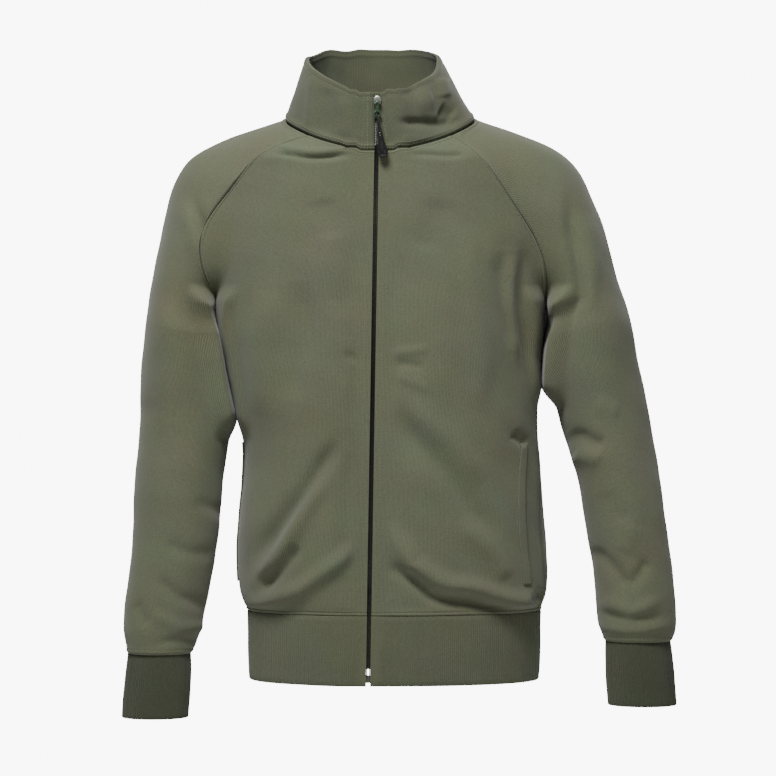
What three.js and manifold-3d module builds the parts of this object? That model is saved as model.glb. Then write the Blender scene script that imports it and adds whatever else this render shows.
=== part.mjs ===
// Zip-through raglan sweat jacket, as worn. Millimetres, +Z up, the front faces -Y.
// The origin is the middle of the neck at the height of the side neck points. "left" is the -X side.
import * as THREE from 'three';
import { mergeVertices } from 'three/addons/utils/BufferGeometryUtils.js';
import Module from 'manifold-3d';

const wasm = await Module();
wasm.setup();

// ---- Driving dimensions: body ----
const BODY_LENGTH = 668; // side neck point to hem
const CHEST_HALF_WIDTH = 201;
const CHEST_HALF_DEPTH = 112;
const WAIST_HALF_WIDTH = 177;
const WAIST_HALF_DEPTH = 120;
const HEM_HALF_WIDTH = 174;
const HEM_HALF_DEPTH = 122;
const HEM_SWAY = 17; // how far the lower body stands to the right
const HEM_TWIST = -0.23; // turn of the lower body, in radians
const ARMPIT_DROP = 235;
const WAISTBAND_HEIGHT = 80;
const BLOUSE = 10; // fabric that rolls over the waistband seam
const ROUNDNESS = 2.3; // exponent of the body's oval sections

// ---- Driving dimensions: neck and collar ----
const NECK_HALF_WIDTH = 113;
const NECK_HALF_DEPTH = 79;
const NECK_CENTRE_Y = -14;
const RIM_HALF_WIDTH = 82;
const RIM_HALF_DEPTH = 75;
const RIM_CENTRE_X = -8;
const COLLAR_FRONT_HEIGHT = 68;
const COLLAR_SIDE_HEIGHT = 72;
const COLLAR_BACK_HEIGHT = 74;

// ---- Driving dimensions: sleeves ----
const SLEEVE_DROP_LEFT = 636; // neck point to cuff seam, measured straight down
const SLEEVE_DROP_RIGHT = 622;
const CUFF_LENGTH = 75;
const CUFF_TUCK_WIDTH = 2; // how far the cuff seam sits inside the bloused sleeve end
const CUFF_TUCK_DEPTH = 3.5;
const BLEND = 24; // softness of the joint between body and arm

// ---- Driving dimensions: fabric, pockets and trims ----
const FABRIC = 2.5;
const RIB = 3;
const SEAM_GAP = 0.4;
const LAYER_GAP = 0.35;
const NECK_SEAM_GAP = 0.9;
const POCKET_LENGTH = 165;
const POCKET_BOTTOM_ABOVE_SEAM = 36;
const POCKET_ANGLE = 1.3; // welt position round the side, from the front, in radians
const WELT_WIDTH = 11;
const WELT_THICKNESS = 2;
const MOUTH_WIDTH = 11;
const MOUTH_UNDER_WELT = 4;
const BAG_WIDTH = 120;
const BAG_DEPTH = 10;
const BAG_FABRIC = 1.5;
const NECK_TAPE_WIDTH = 12;
const NECK_TAPE_THICKNESS = 1.2;
const LOOP_WIDTH = 62;
const LOOP_DROP = 20;
const LOOP_BAND = 6;
const LOOP_THICKNESS = 2.4;
const LABEL_WIDTH = 30;
const LABEL_LENGTH = 42;
const LABEL_THICKNESS = 0.6;

// ---- Driving dimensions: zip ----
const ZIP_TOP_X = -2.7;
const ZIP_BOTTOM_X = -13.7;
const ZIP_LEAN = 0.049; // forward travel of the chain for each millimetre down
const ZIP_HEM_MARGIN = 3;
const PLACKET = 18; // flat width of cloth each side of the chain
const LIP = 2.4; // half of the slit between the two fabric edges
const CHAIN_WIDTH = 6;
const CHAIN_THICKNESS = 2.4;
const TOOTH_PITCH = 6;
const TOOTH_CLEARANCE = 0.3;
const BEAD_WIDTH = 1.4;
const TAPE_THICKNESS = 0.8;
const SLIDER_WIDTH = 9.6;
const SLIDER_LENGTH = 11;
const SLIDER_PLATE = 1.2;
const SLIDER_CLEARANCE = 0.4;
const POST_WIDTH = 3; // slider post that passes through the slit
const POST_LENGTH = 6;
const CROWN_WIDTH = 9.2;
const CROWN_THICKNESS = 2;
const CROWN_STANDOFF = 0.6;
const LUG_WIDTH = 1.5;
const LUG_LENGTH = 4.4;
const STOP_TOP = 0.6;
const STOP_HEIGHT = 2.6;
const STOP_WIDTH = 2.2;
const BOX_HEIGHT = 9;
const BOX_WIDTH = 7.2;
const BOX_DEPTH = 4.4;
const PIN_SIZE = 1.4;
const PIN_ABOVE_BOX = 8;
const PIN_IN_BOX = 6.5;
const BRIDGE_RADIUS = 1;
const BRIDGE_CLEARANCE = 0.3;
const TAB_LENGTH = 18;
const TAB_WIDTH = 4.4;
const TAB_THICKNESS = 1.6;
const TAB_BOSS_RADIUS = 2.2;
const EYE_RADIUS = 4.6;
const EYE_HOLE_RADIUS = 2.3;
const CORD_RADIUS = 1.25;
const CORD_SPREAD = 1.7; // half distance between the two strands at the tip
const CORD_DROP = 22;
const TIP_LENGTH = 30;
const TIP_TOP_RADIUS = 3.5;
const TIP_BULB_RADIUS = 6;
const PULLER_LEAN = 0.18; // how far the hanging cord and tip lean to the right, in radians

// ---- Derived levels ----
const WAIST_SEAM = -(BODY_LENGTH - WAISTBAND_HEIGHT);
const ARMPIT = -ARMPIT_DROP;
const HEM = -BODY_LENGTH;

const group = new THREE.Group();
const vec = (x, y, z) => new THREE.Vector3(x, y, z);
const mix = (a, b, t) => a + (b - a) * t;
const clamp01 = (t) => Math.min(1, Math.max(0, t));
const smooth = (t) => clamp01(t) ** 2 * (3 - 2 * clamp01(t));

// ---- Materials ----
const fleece = new THREE.MeshStandardMaterial({ color: 0x5f6150, roughness: 0.95, metalness: 0 });
const fleeceInside = new THREE.MeshStandardMaterial({ color: 0x555747, roughness: 0.95, metalness: 0 });
const ribKnit = new THREE.MeshStandardMaterial({ color: 0x4b4d3f, roughness: 0.95, metalness: 0 });
const tapeCloth = new THREE.MeshStandardMaterial({ color: 0x4a4c3c, roughness: 0.9, metalness: 0 });
const blackPlastic = new THREE.MeshStandardMaterial({ color: 0x161616, roughness: 0.45, metalness: 0 });
const steel = new THREE.MeshStandardMaterial({ color: 0xa9ab9f, roughness: 0.35, metalness: 1 });
const greenMetal = new THREE.MeshStandardMaterial({ color: 0x565a45, roughness: 0.5, metalness: 0.4 });
const blackCord = new THREE.MeshStandardMaterial({ color: 0x1b1b1b, roughness: 0.8, metalness: 0 });
const blackRubber = new THREE.MeshStandardMaterial({ color: 0x1a1a1b, roughness: 0.3, metalness: 0 });
const labelSatin = new THREE.MeshStandardMaterial({ color: 0xd8d6cc, roughness: 0.6, metalness: 0 });

function add(name, geometry, material) {
  const mesh = new THREE.Mesh(geometry, material);
  mesh.name = name;
  group.add(mesh);
  return mesh;
}

// ---- Body form: oval sections at named levels, read with a smooth curve between them ----
const TORSO = [
  { z: HEM, cx: HEM_SWAY, cy: 0, a: HEM_HALF_WIDTH, b: HEM_HALF_DEPTH },
  { z: WAIST_SEAM, cx: HEM_SWAY, cy: 0, a: HEM_HALF_WIDTH + 2, b: HEM_HALF_DEPTH + 1 },
  { z: WAIST_SEAM + 25, cx: HEM_SWAY, cy: 2, a: HEM_HALF_WIDTH + BLOUSE, b: HEM_HALF_DEPTH + 5 },
  { z: WAIST_SEAM + 80, cx: HEM_SWAY - 3, cy: 2, a: HEM_HALF_WIDTH + BLOUSE + 1, b: HEM_HALF_DEPTH + 4 },
  { z: mix(WAIST_SEAM, ARMPIT, 0.55), cx: 13, cy: 3, a: WAIST_HALF_WIDTH, b: WAIST_HALF_DEPTH },
  { z: ARMPIT - 70, cx: 5, cy: 4, a: mix(WAIST_HALF_WIDTH, CHEST_HALF_WIDTH, 0.35), b: CHEST_HALF_DEPTH + 6 },
  { z: ARMPIT + 30, cx: 0, cy: 4, a: CHEST_HALF_WIDTH, b: CHEST_HALF_DEPTH },
  { z: ARMPIT + 100, cx: 0, cy: 3, a: CHEST_HALF_WIDTH + 9, b: CHEST_HALF_DEPTH - 6 },
  { z: -60, cx: 0, cy: 2, a: CHEST_HALF_WIDTH + 14, b: NECK_HALF_DEPTH + 19 },
  { z: -43, cx: 0, cy: 2, a: CHEST_HALF_WIDTH + 13, b: NECK_HALF_DEPTH + 16 },
  { z: -20, cx: 0, cy: 4, a: mix(NECK_HALF_WIDTH, CHEST_HALF_WIDTH, 0.74), b: NECK_HALF_DEPTH - 2 },
  { z: 0, cx: 0, cy: 10, a: NECK_HALF_WIDTH + 6, b: NECK_HALF_DEPTH - 18 },
  { z: 14, cx: 0, cy: 14, a: NECK_HALF_WIDTH - 24, b: NECK_HALF_DEPTH - 27 },
  { z: 45, cx: 0, cy: 14, a: 30, b: 20 },
];

function section(rows, z) {
  const level = Math.min(rows[rows.length - 1].z, Math.max(rows[0].z, z));
  let i = 0;
  while (i < rows.length - 2 && level > rows[i + 1].z) i += 1;
  const before = rows[Math.max(0, i - 1)];
  const low = rows[i];
  const high = rows[i + 1];
  const after = rows[Math.min(rows.length - 1, i + 2)];
  const span = high.z - low.z;
  const t = (level - low.z) / span;
  const found = {};
  for (const key of ['cx', 'cy', 'a', 'b']) {
    const slopeLow = ((high[key] - before[key]) / (high.z - before.z)) * span;
    const slopeHigh = ((after[key] - low[key]) / (after.z - low.z)) * span;
    const cubicLow = (1 + 2 * t) * (1 - t) ** 2 * low[key] + t * (1 - t) ** 2 * slopeLow;
    const cubicHigh = t * t * (3 - 2 * t) * high[key] + t * t * (t - 1) * slopeHigh;
    found[key] = cubicLow + cubicHigh;
  }
  return found;
}

// ---- The zip's straight line, on the outer face of the fabric edges ----
const neckFrontY = NECK_CENTRE_Y - NECK_HALF_DEPTH;
const NECK_FRONT_Z = -43;
const COLLAR_TOP_Z = NECK_FRONT_Z + COLLAR_FRONT_HEIGHT;
const zipY = (z) => neckFrontY - ZIP_LEAN * (NECK_FRONT_Z - z);
const zipX = (z) => mix(ZIP_TOP_X, ZIP_BOTTOM_X, (COLLAR_TOP_Z - z) / (COLLAR_TOP_Z - HEM));
const zipTop = vec(zipX(COLLAR_TOP_Z), zipY(COLLAR_TOP_Z), COLLAR_TOP_Z);
const zipBottom = vec(zipX(HEM), zipY(HEM), HEM);
const zipDown = zipBottom.clone().sub(zipTop).normalize();
const zipSide = vec(-zipDown.z, 0, zipDown.x).normalize();
const zipOut = zipSide.clone().cross(zipDown);
if (zipOut.y > 0) zipOut.negate();
const zipPoint = (side, down, out) => zipTop.clone()
  .addScaledVector(zipSide, side).addScaledVector(zipDown, down).addScaledVector(zipOut, out);
const zipLength = zipTop.distanceTo(zipBottom);

// Signed fields: negative inside the garment's outer surface.
function torsoField(p) {
  const s = section(TORSO, p.z);
  const n = p.z > -60 ? mix(ROUNDNESS, 2, smooth((p.z + 60) / 40)) : ROUNDNESS;
  const along = (p.x - s.cx) / s.a;
  const plainFront = s.cy - s.b * Math.max(0.05, 1 - Math.abs(along) ** n) ** (1 / n);
  const inZipZone = p.z < NECK_FRONT_Z + 4 ? 1 : 0;
  const beside = Math.max(0, Math.abs(p.x - zipX(p.z)) - PLACKET);
  const near = Math.exp(-((beside / 35) ** 2)) * inZipZone * smooth((s.cy - p.y) / 30);
  const y = p.y - (zipY(p.z) - plainFront) * near;
  const oval = (Math.abs((p.x - s.cx) / s.a) ** n + Math.abs((y - s.cy) / s.b) ** n) ** (1 / n);
  const above = Math.max(0, p.z - TORSO[TORSO.length - 1].z);
  return (oval - 1) * Math.min(s.a, s.b) + above;
}

// Arm sections: inner and outer reach are measured from the chest's half width.
function armRows(drop, reach) {
  const down = (t) => mix(ARMPIT, -drop, t);
  const row = ([z, inner, outer, cy, b]) => ({
    z, cx: CHEST_HALF_WIDTH + (inner + outer) / 2, cy, a: (outer - inner) / 2, b,
  });
  return reach(down).map(row).reverse();
}
const ARMS = {
  left: armRows(SLEEVE_DROP_LEFT, (down) => [
    [-34, -30, 6, 8, 14], [-42, -40, 29, 8, 34], [-58, -45, 45, 8, 50], [-119, -43, 58, 8, 66],
    [-193, -15, 73, 7, 72], [down(0.01), 1, 80, 6, 74], [down(0.14), -7, 84, 4, 68],
    [down(0.3), -21, 87, 0, 62], [down(0.49), -15, 91, -10, 56], [down(0.74), -4, 97, -25, 50],
    [down(0.92), 12, 105, -34, 46], [down(1), 22, 100, -37, 40],
  ]),
  right: armRows(SLEEVE_DROP_RIGHT, (down) => [
    [-30, -30, 2, 8, 14], [-38, -40, 25, 8, 34], [-54, -45, 37, 8, 50], [-110, -43, 60, 8, 66],
    [-185, -15, 83, 7, 72], [down(0.01), 2, 98, 6, 74], [down(0.14), 1, 108, 4, 68],
    [down(0.3), 12, 121, -1, 60], [down(0.5), 36, 135, -10, 55], [down(0.76), 52, 146, -22, 49],
    [down(0.94), 58, 151, -28, 46], [down(1), 66, 147, -30, 40],
  ]),
};
const sideSign = { left: -1, right: 1 };

function armField(side, p) {
  const rows = ARMS[side];
  const s = section(rows, p.z);
  const x = p.x * sideSign[side];
  const oval = Math.hypot((x - s.cx) / s.a, (p.y - s.cy) / s.b);
  const beyond = Math.max(0, p.z - rows[rows.length - 1].z);
  return (oval - 1) * Math.min(s.a, s.b) + beyond;
}

function softUnion(a, b, k) {
  const h = Math.max(0, 1 - Math.abs(a - b) / k);
  return Math.min(a, b) - h * h * k * 0.25;
}
const blendAt = (z) => mix(0.5, BLEND, smooth((z - ARMPIT) / 60));
const bodyField = (side) => (p) => {
  const torso = torsoField(p);
  if (p.z < ARMPIT) return torso;
  return softUnion(torso, armField(side, p), blendAt(p.z));
};
const sleeveField = (side) => (p) => {
  const arm = armField(side, p);
  if (p.z < ARMPIT) return arm;
  return softUnion(arm, torsoField(p), blendAt(p.z));
};
const wholeField = (p) => (p.x < 0 ? bodyField('left')(p) : bodyField('right')(p));

function outward(field, p) {
  const h = 0.5;
  const slope = (dx, dy, dz) => field(vec(p.x + dx, p.y + dy, p.z + dz)) - field(vec(p.x - dx, p.y - dy, p.z - dz));
  return vec(slope(h, 0, 0), slope(0, h, 0), slope(0, 0, h)).normalize();
}

function toSurface(field, start, steps = 12) {
  const p = start.clone();
  for (let i = 0; i < steps; i += 1) {
    const n = outward(field, p);
    const value = field(p);
    const ahead = field(p.clone().addScaledVector(n, 1));
    const rate = Math.max(0.3, Math.abs(ahead - value));
    p.addScaledVector(n, -Math.max(-15, Math.min(15, value / rate)) * 0.9);
  }
  return p;
}

// First crossing of the surface along a ray that starts inside it.
function castFrom(field, origin, direction, reach) {
  let near = 0;
  let far = reach;
  for (let r = 2; r <= reach; r += 2) {
    if (field(origin.clone().addScaledVector(direction, r)) > 0) {
      far = r;
      break;
    }
    near = r;
  }
  for (let i = 0; i < 30; i += 1) {
    const middle = (near + far) / 2;
    if (field(origin.clone().addScaledVector(direction, middle)) > 0) far = middle;
    else near = middle;
  }
  return origin.clone().addScaledVector(direction, (near + far) / 2);
}

// ---- Seam lines ----
// Angle round the neck or the body: 0 at the front, growing towards +X.
const besideZip = (x, z) => smooth((Math.abs(x - zipX(z)) - PLACKET) / 25);

function neckPoint(angle) {
  const x = NECK_HALF_WIDTH * Math.sin(angle);
  const round = NECK_CENTRE_Y - NECK_HALF_DEPTH * Math.cos(angle);
  const y = Math.cos(angle) > 0 ? mix(neckFrontY, round, besideZip(x, NECK_FRONT_Z)) : round;
  let low = -90;
  let high = 44;
  for (let i = 0; i < 30; i += 1) {
    const middle = (low + high) / 2;
    if (wholeField(vec(x, y, middle)) > 0) high = middle;
    else low = middle;
  }
  return vec(x, y, low);
}

function torsoPoint(angle, z) {
  const s = section(TORSO, z);
  return castFrom(torsoField, vec(s.cx, s.cy, z), vec(Math.sin(angle), -Math.cos(angle), 0), 260);
}
const twistAt = (z) => HEM_TWIST * smooth((ARMPIT - z) / 260);

// The raglan seam bends round a hinge line inside the body, in polar form (distance, angle).
const HINGE = { x: CHEST_HALF_WIDTH - 16, z: ARMPIT - 27 };
const RAGLAN_FRONT_ANGLE = 0.83;
const RAGLAN_BACK_ANGLE = 2.55;
// How each seam bends: its angle at the armpit, how far it bows outwards, and how early each part sets in.
const RAGLAN_BEND = {
  left: { low: 1.2, bulge: 0.33, fall: 1.4, bow: 0.92, roll: 1.15 },
  right: { low: 1.15, bulge: 0.19, fall: 1.7, bow: 0.95, roll: 1.1 },
};
const RAGLAN_ROWS = 10;
const ARMHOLE_CENTRE_REACH = 105;
const ARMHOLE_CENTRE_Y = 6;

function polar(side, distance, angle, y) {
  return vec(sideSign[side] * (HINGE.x + distance * Math.cos(angle)), y, HINGE.z + distance * Math.sin(angle));
}

// Points down the seam from the neck (t = 0) to the armpit (t = 1), in front or at the back.
function raglanPoint(side, neckAngle, t) {
  const neck = neckPoint(neckAngle * sideSign[side]);
  const neckReach = Math.hypot(Math.abs(neck.x) - HINGE.x, neck.z - HINGE.z);
  const neckTurn = Math.atan2(neck.z - HINGE.z, Math.abs(neck.x) - HINGE.x);
  const startAround = Math.atan2(neck.y - ARMHOLE_CENTRE_Y, neckReach - ARMHOLE_CENTRE_REACH);
  const bend = RAGLAN_BEND[side];
  const around = mix(startAround, Math.PI * Math.sign(startAround), t ** bend.roll);
  const field = sleeveField(side);
  const turn = mix(neckTurn, bend.low, t ** bend.fall) - bend.bulge * Math.sin(Math.PI * t ** bend.bow);
  const at = (r) => polar(side, ARMHOLE_CENTRE_REACH + r * Math.cos(around), turn,
    ARMHOLE_CENTRE_Y + r * Math.sin(around));
  if (t === 0) return neck;
  let low = 0;
  let high = 190;
  for (let r = 2; r < 190; r += 2) {
    if (field(at(r)) > 0) {
      high = r;
      break;
    }
    low = r;
  }
  for (let i = 0; i < 30; i += 1) {
    const middle = (low + high) / 2;
    if (field(at(middle)) > 0) high = middle;
    else low = middle;
  }
  return at(low);
}

const steps = (count) => Array.from({ length: count + 1 }, (_, i) => i / count);
const raglan = {};
for (const side of ['left', 'right']) {
  raglan[side] = {
    front: steps(RAGLAN_ROWS).map((t) => raglanPoint(side, RAGLAN_FRONT_ANGLE, t)),
    back: steps(RAGLAN_ROWS).map((t) => raglanPoint(side, RAGLAN_BACK_ANGLE, t)),
  };
  raglan[side].back[RAGLAN_ROWS] = raglan[side].front[RAGLAN_ROWS];
}
const SIDE_ROWS = 7;
function sideSeam(side) {
  const armpit = raglan[side].front[RAGLAN_ROWS];
  return steps(SIDE_ROWS).map((t) => {
    if (t === 1) return armpit;
    const z = mix(WAIST_SEAM, armpit.z, t);
    return torsoPoint(sideSign[side] * (Math.PI / 2) + twistAt(z), z);
  });
}

// ---- Cloth solids ----
function gridGeometry(outer, inner, wrapped) {
  const rows = outer.length;
  const columns = outer[0].length;
  const positions = [];
  for (const grid of [outer, inner]) for (const row of grid) for (const p of row) positions.push(p.x, p.y, p.z);
  const at = (layer, j, i) => layer * rows * columns + j * columns + (i % columns);
  const faces = [];
  const quad = (a, b, c, d) => faces.push(a, b, c, a, c, d);
  const last = wrapped ? columns : columns - 1;
  for (let j = 0; j < rows - 1; j += 1) {
    for (let i = 0; i < last; i += 1) {
      quad(at(0, j, i), at(0, j, i + 1), at(0, j + 1, i + 1), at(0, j + 1, i));
      quad(at(1, j, i), at(1, j + 1, i), at(1, j + 1, i + 1), at(1, j, i + 1));
    }
  }
  for (let i = 0; i < last; i += 1) {
    quad(at(0, 0, i), at(1, 0, i), at(1, 0, i + 1), at(0, 0, i + 1));
    quad(at(0, rows - 1, i), at(0, rows - 1, i + 1), at(1, rows - 1, i + 1), at(1, rows - 1, i));
  }
  if (!wrapped) {
    for (let j = 0; j < rows - 1; j += 1) {
      quad(at(0, j, 0), at(0, j + 1, 0), at(1, j + 1, 0), at(1, j, 0));
      quad(at(0, j, columns - 1), at(1, j, columns - 1), at(1, j + 1, columns - 1), at(0, j + 1, columns - 1));
    }
  }
  const geometry = new THREE.BufferGeometry();
  geometry.setAttribute('position', new THREE.Float32BufferAttribute(positions, 3));
  geometry.setIndex(faces);
  if (signedVolume(geometry) < 0) geometry.setIndex(faces.reverse());
  return geometry;
}

function signedVolume(geometry) {
  const index = geometry.index.array;
  const position = geometry.attributes.position;
  const corner = (i) => vec(position.getX(index[i]), position.getY(index[i]), position.getZ(index[i]));
  let volume = 0;
  for (let i = 0; i < index.length; i += 3) volume += corner(i).dot(corner(i + 1).cross(corner(i + 2)));
  return volume / 6;
}

function cloth(grid, field, thickness, wrapped = false, outset = 0) {
  const offset = (depth) => grid.map((row) => row.map((p) => p.clone().addScaledVector(outward(field, p), depth)));
  return gridGeometry(outset ? offset(outset) : grid, offset(outset - thickness), wrapped);
}

// Four edge lines filled in with a smooth sheet, then laid on the surface.
function patch(bottom, right, top, left, field) {
  const rows = left.length;
  const columns = bottom.length;
  const grid = [];
  for (let j = 0; j < rows; j += 1) {
    const v = j / (rows - 1);
    const line = [];
    for (let i = 0; i < columns; i += 1) {
      const u = i / (columns - 1);
      const p = vec(0, 0, 0).addScaledVector(bottom[i], 1 - v).addScaledVector(top[i], v)
        .addScaledVector(left[j], 1 - u).addScaledVector(right[j], u)
        .addScaledVector(bottom[0], -(1 - u) * (1 - v)).addScaledVector(bottom[columns - 1], -u * (1 - v))
        .addScaledVector(top[0], -(1 - u) * v).addScaledVector(top[columns - 1], -u * v);
      const edge = i === 0 || j === 0 || i === columns - 1 || j === rows - 1;
      line.push(edge ? p : toSurface(field, p));
    }
    grid.push(line);
  }
  return pullIn(grid, false);
}

// Draws each edge in by half of the seam gap, so that sewn pieces don't share a face.
function pullIn(grid, wrapped) {
  const rows = grid.length;
  const columns = grid[0].length;
  const moved = grid.map((row) => row.map((p) => p.clone()));
  const draw = (p, from, towards) => p.addScaledVector(towards.clone().sub(from).normalize(), SEAM_GAP / 2);
  for (let i = 0; i < columns; i += 1) {
    draw(moved[0][i], grid[0][i], grid[1][i]);
    draw(moved[rows - 1][i], grid[rows - 1][i], grid[rows - 2][i]);
  }
  for (let j = 0; j < rows && !wrapped; j += 1) {
    draw(moved[j][0], grid[j][0], grid[j][1]);
    draw(moved[j][columns - 1], grid[j][columns - 1], grid[j][columns - 2]);
  }
  return moved;
}

function asManifold(geometry) {
  const mesh = new wasm.Mesh({
    numProp: 3,
    vertProperties: new Float32Array(geometry.attributes.position.array),
    triVerts: new Uint32Array(geometry.index.array),
  });
  return new wasm.Manifold(mesh);
}

function asGeometry(solid) {
  const mesh = solid.getMesh();
  const geometry = new THREE.BufferGeometry();
  geometry.setAttribute('position', new THREE.Float32BufferAttribute(mesh.vertProperties, 3));
  geometry.setIndex(Array.from(mesh.triVerts));
  return geometry;
}

// ---- Body panels ----
const FRONT_COLUMNS = 10;
const BACK_COLUMNS = 18;
const BODY_ROWS = SIDE_ROWS + RAGLAN_ROWS;
const lipAngle = (side, z) => {
  const s = section(TORSO, z);
  return Math.atan2(zipX(z) + sideSign[side] * LIP - s.cx, s.cy - zipY(z));
};

function frontPanel(side) {
  const sign = sideSign[side];
  const field = bodyField(side);
  const seam = sideSeam(side).concat([...raglan[side].front].reverse().slice(1));
  const zip = steps(BODY_ROWS).map((t) => {
    const z = mix(WAIST_SEAM, NECK_FRONT_Z, t);
    return vec(zipX(z) + sign * LIP, zipY(z), z);
  });
  const bottom = steps(FRONT_COLUMNS).map((t) => {
    const end = sign * (Math.PI / 2) + twistAt(WAIST_SEAM);
    return torsoPoint(mix(lipAngle(side, WAIST_SEAM), end, t), WAIST_SEAM);
  });
  const neckStart = Math.asin((zipX(NECK_FRONT_Z) * sign + LIP) / NECK_HALF_WIDTH);
  const top = steps(FRONT_COLUMNS).map((t) => neckPoint(sign * mix(neckStart, RAGLAN_FRONT_ANGLE, t)));
  bottom[0] = zip[0];
  zip[BODY_ROWS] = top[0];
  return patch(bottom, seam, top, zip, field);
}

function backPanel() {
  const left = sideSeam('left').concat([...raglan.left.back].reverse().slice(1));
  const right = sideSeam('right').concat([...raglan.right.back].reverse().slice(1));
  const bottom = steps(BACK_COLUMNS).map((t) => {
    const start = Math.PI / 2 + twistAt(WAIST_SEAM);
    return torsoPoint(mix(start, start + Math.PI, t), WAIST_SEAM);
  });
  const top = steps(BACK_COLUMNS).map((t) => neckPoint(mix(RAGLAN_BACK_ANGLE, 2 * Math.PI - RAGLAN_BACK_ANGLE, t)));
  bottom[BACK_COLUMNS] = left[0];
  return patch(bottom, left, top, right, wholeField);
}

// ---- Sleeves ----
const NECK_ARC_COLUMNS = 4;
const SHOULDER_ROWS = 8;
const ARM_ROWS = 7;

function sleeveGrid(side) {
  const sign = sideSign[side];
  const field = sleeveField(side);
  const neckArc = steps(NECK_ARC_COLUMNS)
    .map((t) => neckPoint(sign * mix(RAGLAN_BACK_ANGLE, RAGLAN_FRONT_ANGLE, t)));
  const loop = neckArc
    .concat(raglan[side].front.slice(1))
    .concat([...raglan[side].back].reverse().slice(1, -1));
  const starts = loop.map((p) => {
    const distance = Math.hypot(Math.abs(p.x) - HINGE.x, p.z - HINGE.z);
    return {
      turn: Math.atan2(p.z - HINGE.z, Math.abs(p.x) - HINGE.x),
      around: Math.atan2(p.y - ARMHOLE_CENTRE_Y, distance - ARMHOLE_CENTRE_REACH),
    };
  });
  const arm = section(ARMS[side], HINGE.z);
  const grid = [loop];
  const count = loop.length;
  const goal = starts.map((_, i) => mix(Math.PI / 2, -3 * Math.PI / 2, (i + 1.5) / count) - 0.55);
  for (let j = 1; j <= SHOULDER_ROWS; j += 1) {
    const t = j / SHOULDER_ROWS;
    const centre = mix(ARMHOLE_CENTRE_REACH, arm.cx - HINGE.x, smooth(t));
    grid.push(starts.map((start, i) => {
      let difference = goal[i] - start.around;
      difference -= 2 * Math.PI * Math.round(difference / (2 * Math.PI));
      const around = start.around + difference * smooth(t);
      const turn = start.turn * (1 - t);
      const origin = polar(side, centre, turn, mix(ARMHOLE_CENTRE_Y, arm.cy, t));
      const tip = polar(side, centre + Math.cos(around), turn, mix(ARMHOLE_CENTRE_Y, arm.cy, t) + Math.sin(around));
      return castFrom(field, origin, tip.sub(origin).normalize(), 220);
    }));
  }
  const bottom = side === 'left' ? -SLEEVE_DROP_LEFT : -SLEEVE_DROP_RIGHT;
  for (let j = 1; j <= ARM_ROWS; j += 1) {
    const z = mix(HINGE.z, bottom, j / ARM_ROWS);
    const s = section(ARMS[side], z);
    grid.push(goal.map((around) => castFrom((p) => armField(side, p), vec(sign * s.cx, s.cy, z),
      vec(sign * Math.cos(around), Math.sin(around), 0), 120)));
  }
  return pullIn(grid, true);
}

// ---- Ribbed waistband and cuffs ----
const WAISTBAND_COLUMNS = 40;
const CUFF_COLUMNS = 20;

function waistband() {
  const levels = [WAIST_SEAM - SEAM_GAP / 2, mix(WAIST_SEAM, HEM, 0.5), HEM];
  const grid = levels.map((z) => steps(WAISTBAND_COLUMNS).map((t) => {
    if (t === 0 || t === 1) return vec(zipX(z) + (t ? -LIP : LIP), zipY(z), z);
    return torsoPoint(mix(lipAngle('right', z), 2 * Math.PI + lipAngle('left', z), t), z);
  }));
  return cloth(grid, torsoField, RIB);
}

function cuff(side) {
  const drop = side === 'left' ? SLEEVE_DROP_LEFT : SLEEVE_DROP_RIGHT;
  const top = section(ARMS[side], -drop);
  const field = (p) => Math.hypot(p.x - sideSign[side] * top.cx, p.y - top.cy);
  const grid = steps(2).map((t) => steps(CUFF_COLUMNS).slice(1).map((u) => {
    const angle = u * 2 * Math.PI;
    const x = sideSign[side] * (top.cx + 5 * t) + (top.a - CUFF_TUCK_WIDTH + 2 * t) * Math.cos(angle);
    const y = top.cy - 4 * t + (top.b - CUFF_TUCK_DEPTH + 2 * t) * Math.sin(angle);
    return vec(x, y, -drop - SEAM_GAP / 2 - CUFF_LENGTH * t);
  }));
  return cloth(grid, field, RIB, true);
}

// ---- Stand collar: an outer and an inner ply, open at the zip ----
const COLLAR_COLUMNS = 30;
const COLLAR_ROWS = 3;
const rimCentreY = zipY(COLLAR_TOP_Z) + RIM_HALF_DEPTH;
const collarField = (p) => Math.hypot((p.x - RIM_CENTRE_X / 2) / NECK_HALF_WIDTH, (p.y - rimCentreY) / NECK_HALF_DEPTH);

function collarHeight(angle) {
  const front = smooth((1 + Math.cos(angle)) / 2);
  const back = smooth((1 - Math.cos(angle)) / 2);
  return COLLAR_SIDE_HEIGHT + (COLLAR_FRONT_HEIGHT - COLLAR_SIDE_HEIGHT) * front
    + (COLLAR_BACK_HEIGHT - COLLAR_SIDE_HEIGHT) * back;
}

function collarPoint(angle, t) {
  const base = neckPoint(angle);
  const rim = vec(RIM_CENTRE_X + RIM_HALF_WIDTH * Math.sin(angle), rimCentreY - RIM_HALF_DEPTH * Math.cos(angle),
    base.z + collarHeight(angle));
  const p = base.clone().lerp(rim, t);
  if (Math.cos(angle) > 0) p.y = mix(zipY(p.z), p.y, besideZip(p.x, p.z));
  p.z += NECK_SEAM_GAP * (1 - t);
  return p;
}

// The angle at which the collar stands a given distance beside the chain.
function collarAngle(side, beside) {
  const wanted = (zipX(NECK_FRONT_Z) + sideSign[side] * beside) / NECK_HALF_WIDTH;
  return Math.asin(wanted);
}

// Both plies stand on the same columns; the inner one stops short of the zip tapes.
const INNER_PLY_BESIDE = PLACKET + 1;
const collarStart = collarAngle('right', INNER_PLY_BESIDE);
const collarEnd = 2 * Math.PI + collarAngle('left', INNER_PLY_BESIDE);

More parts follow.
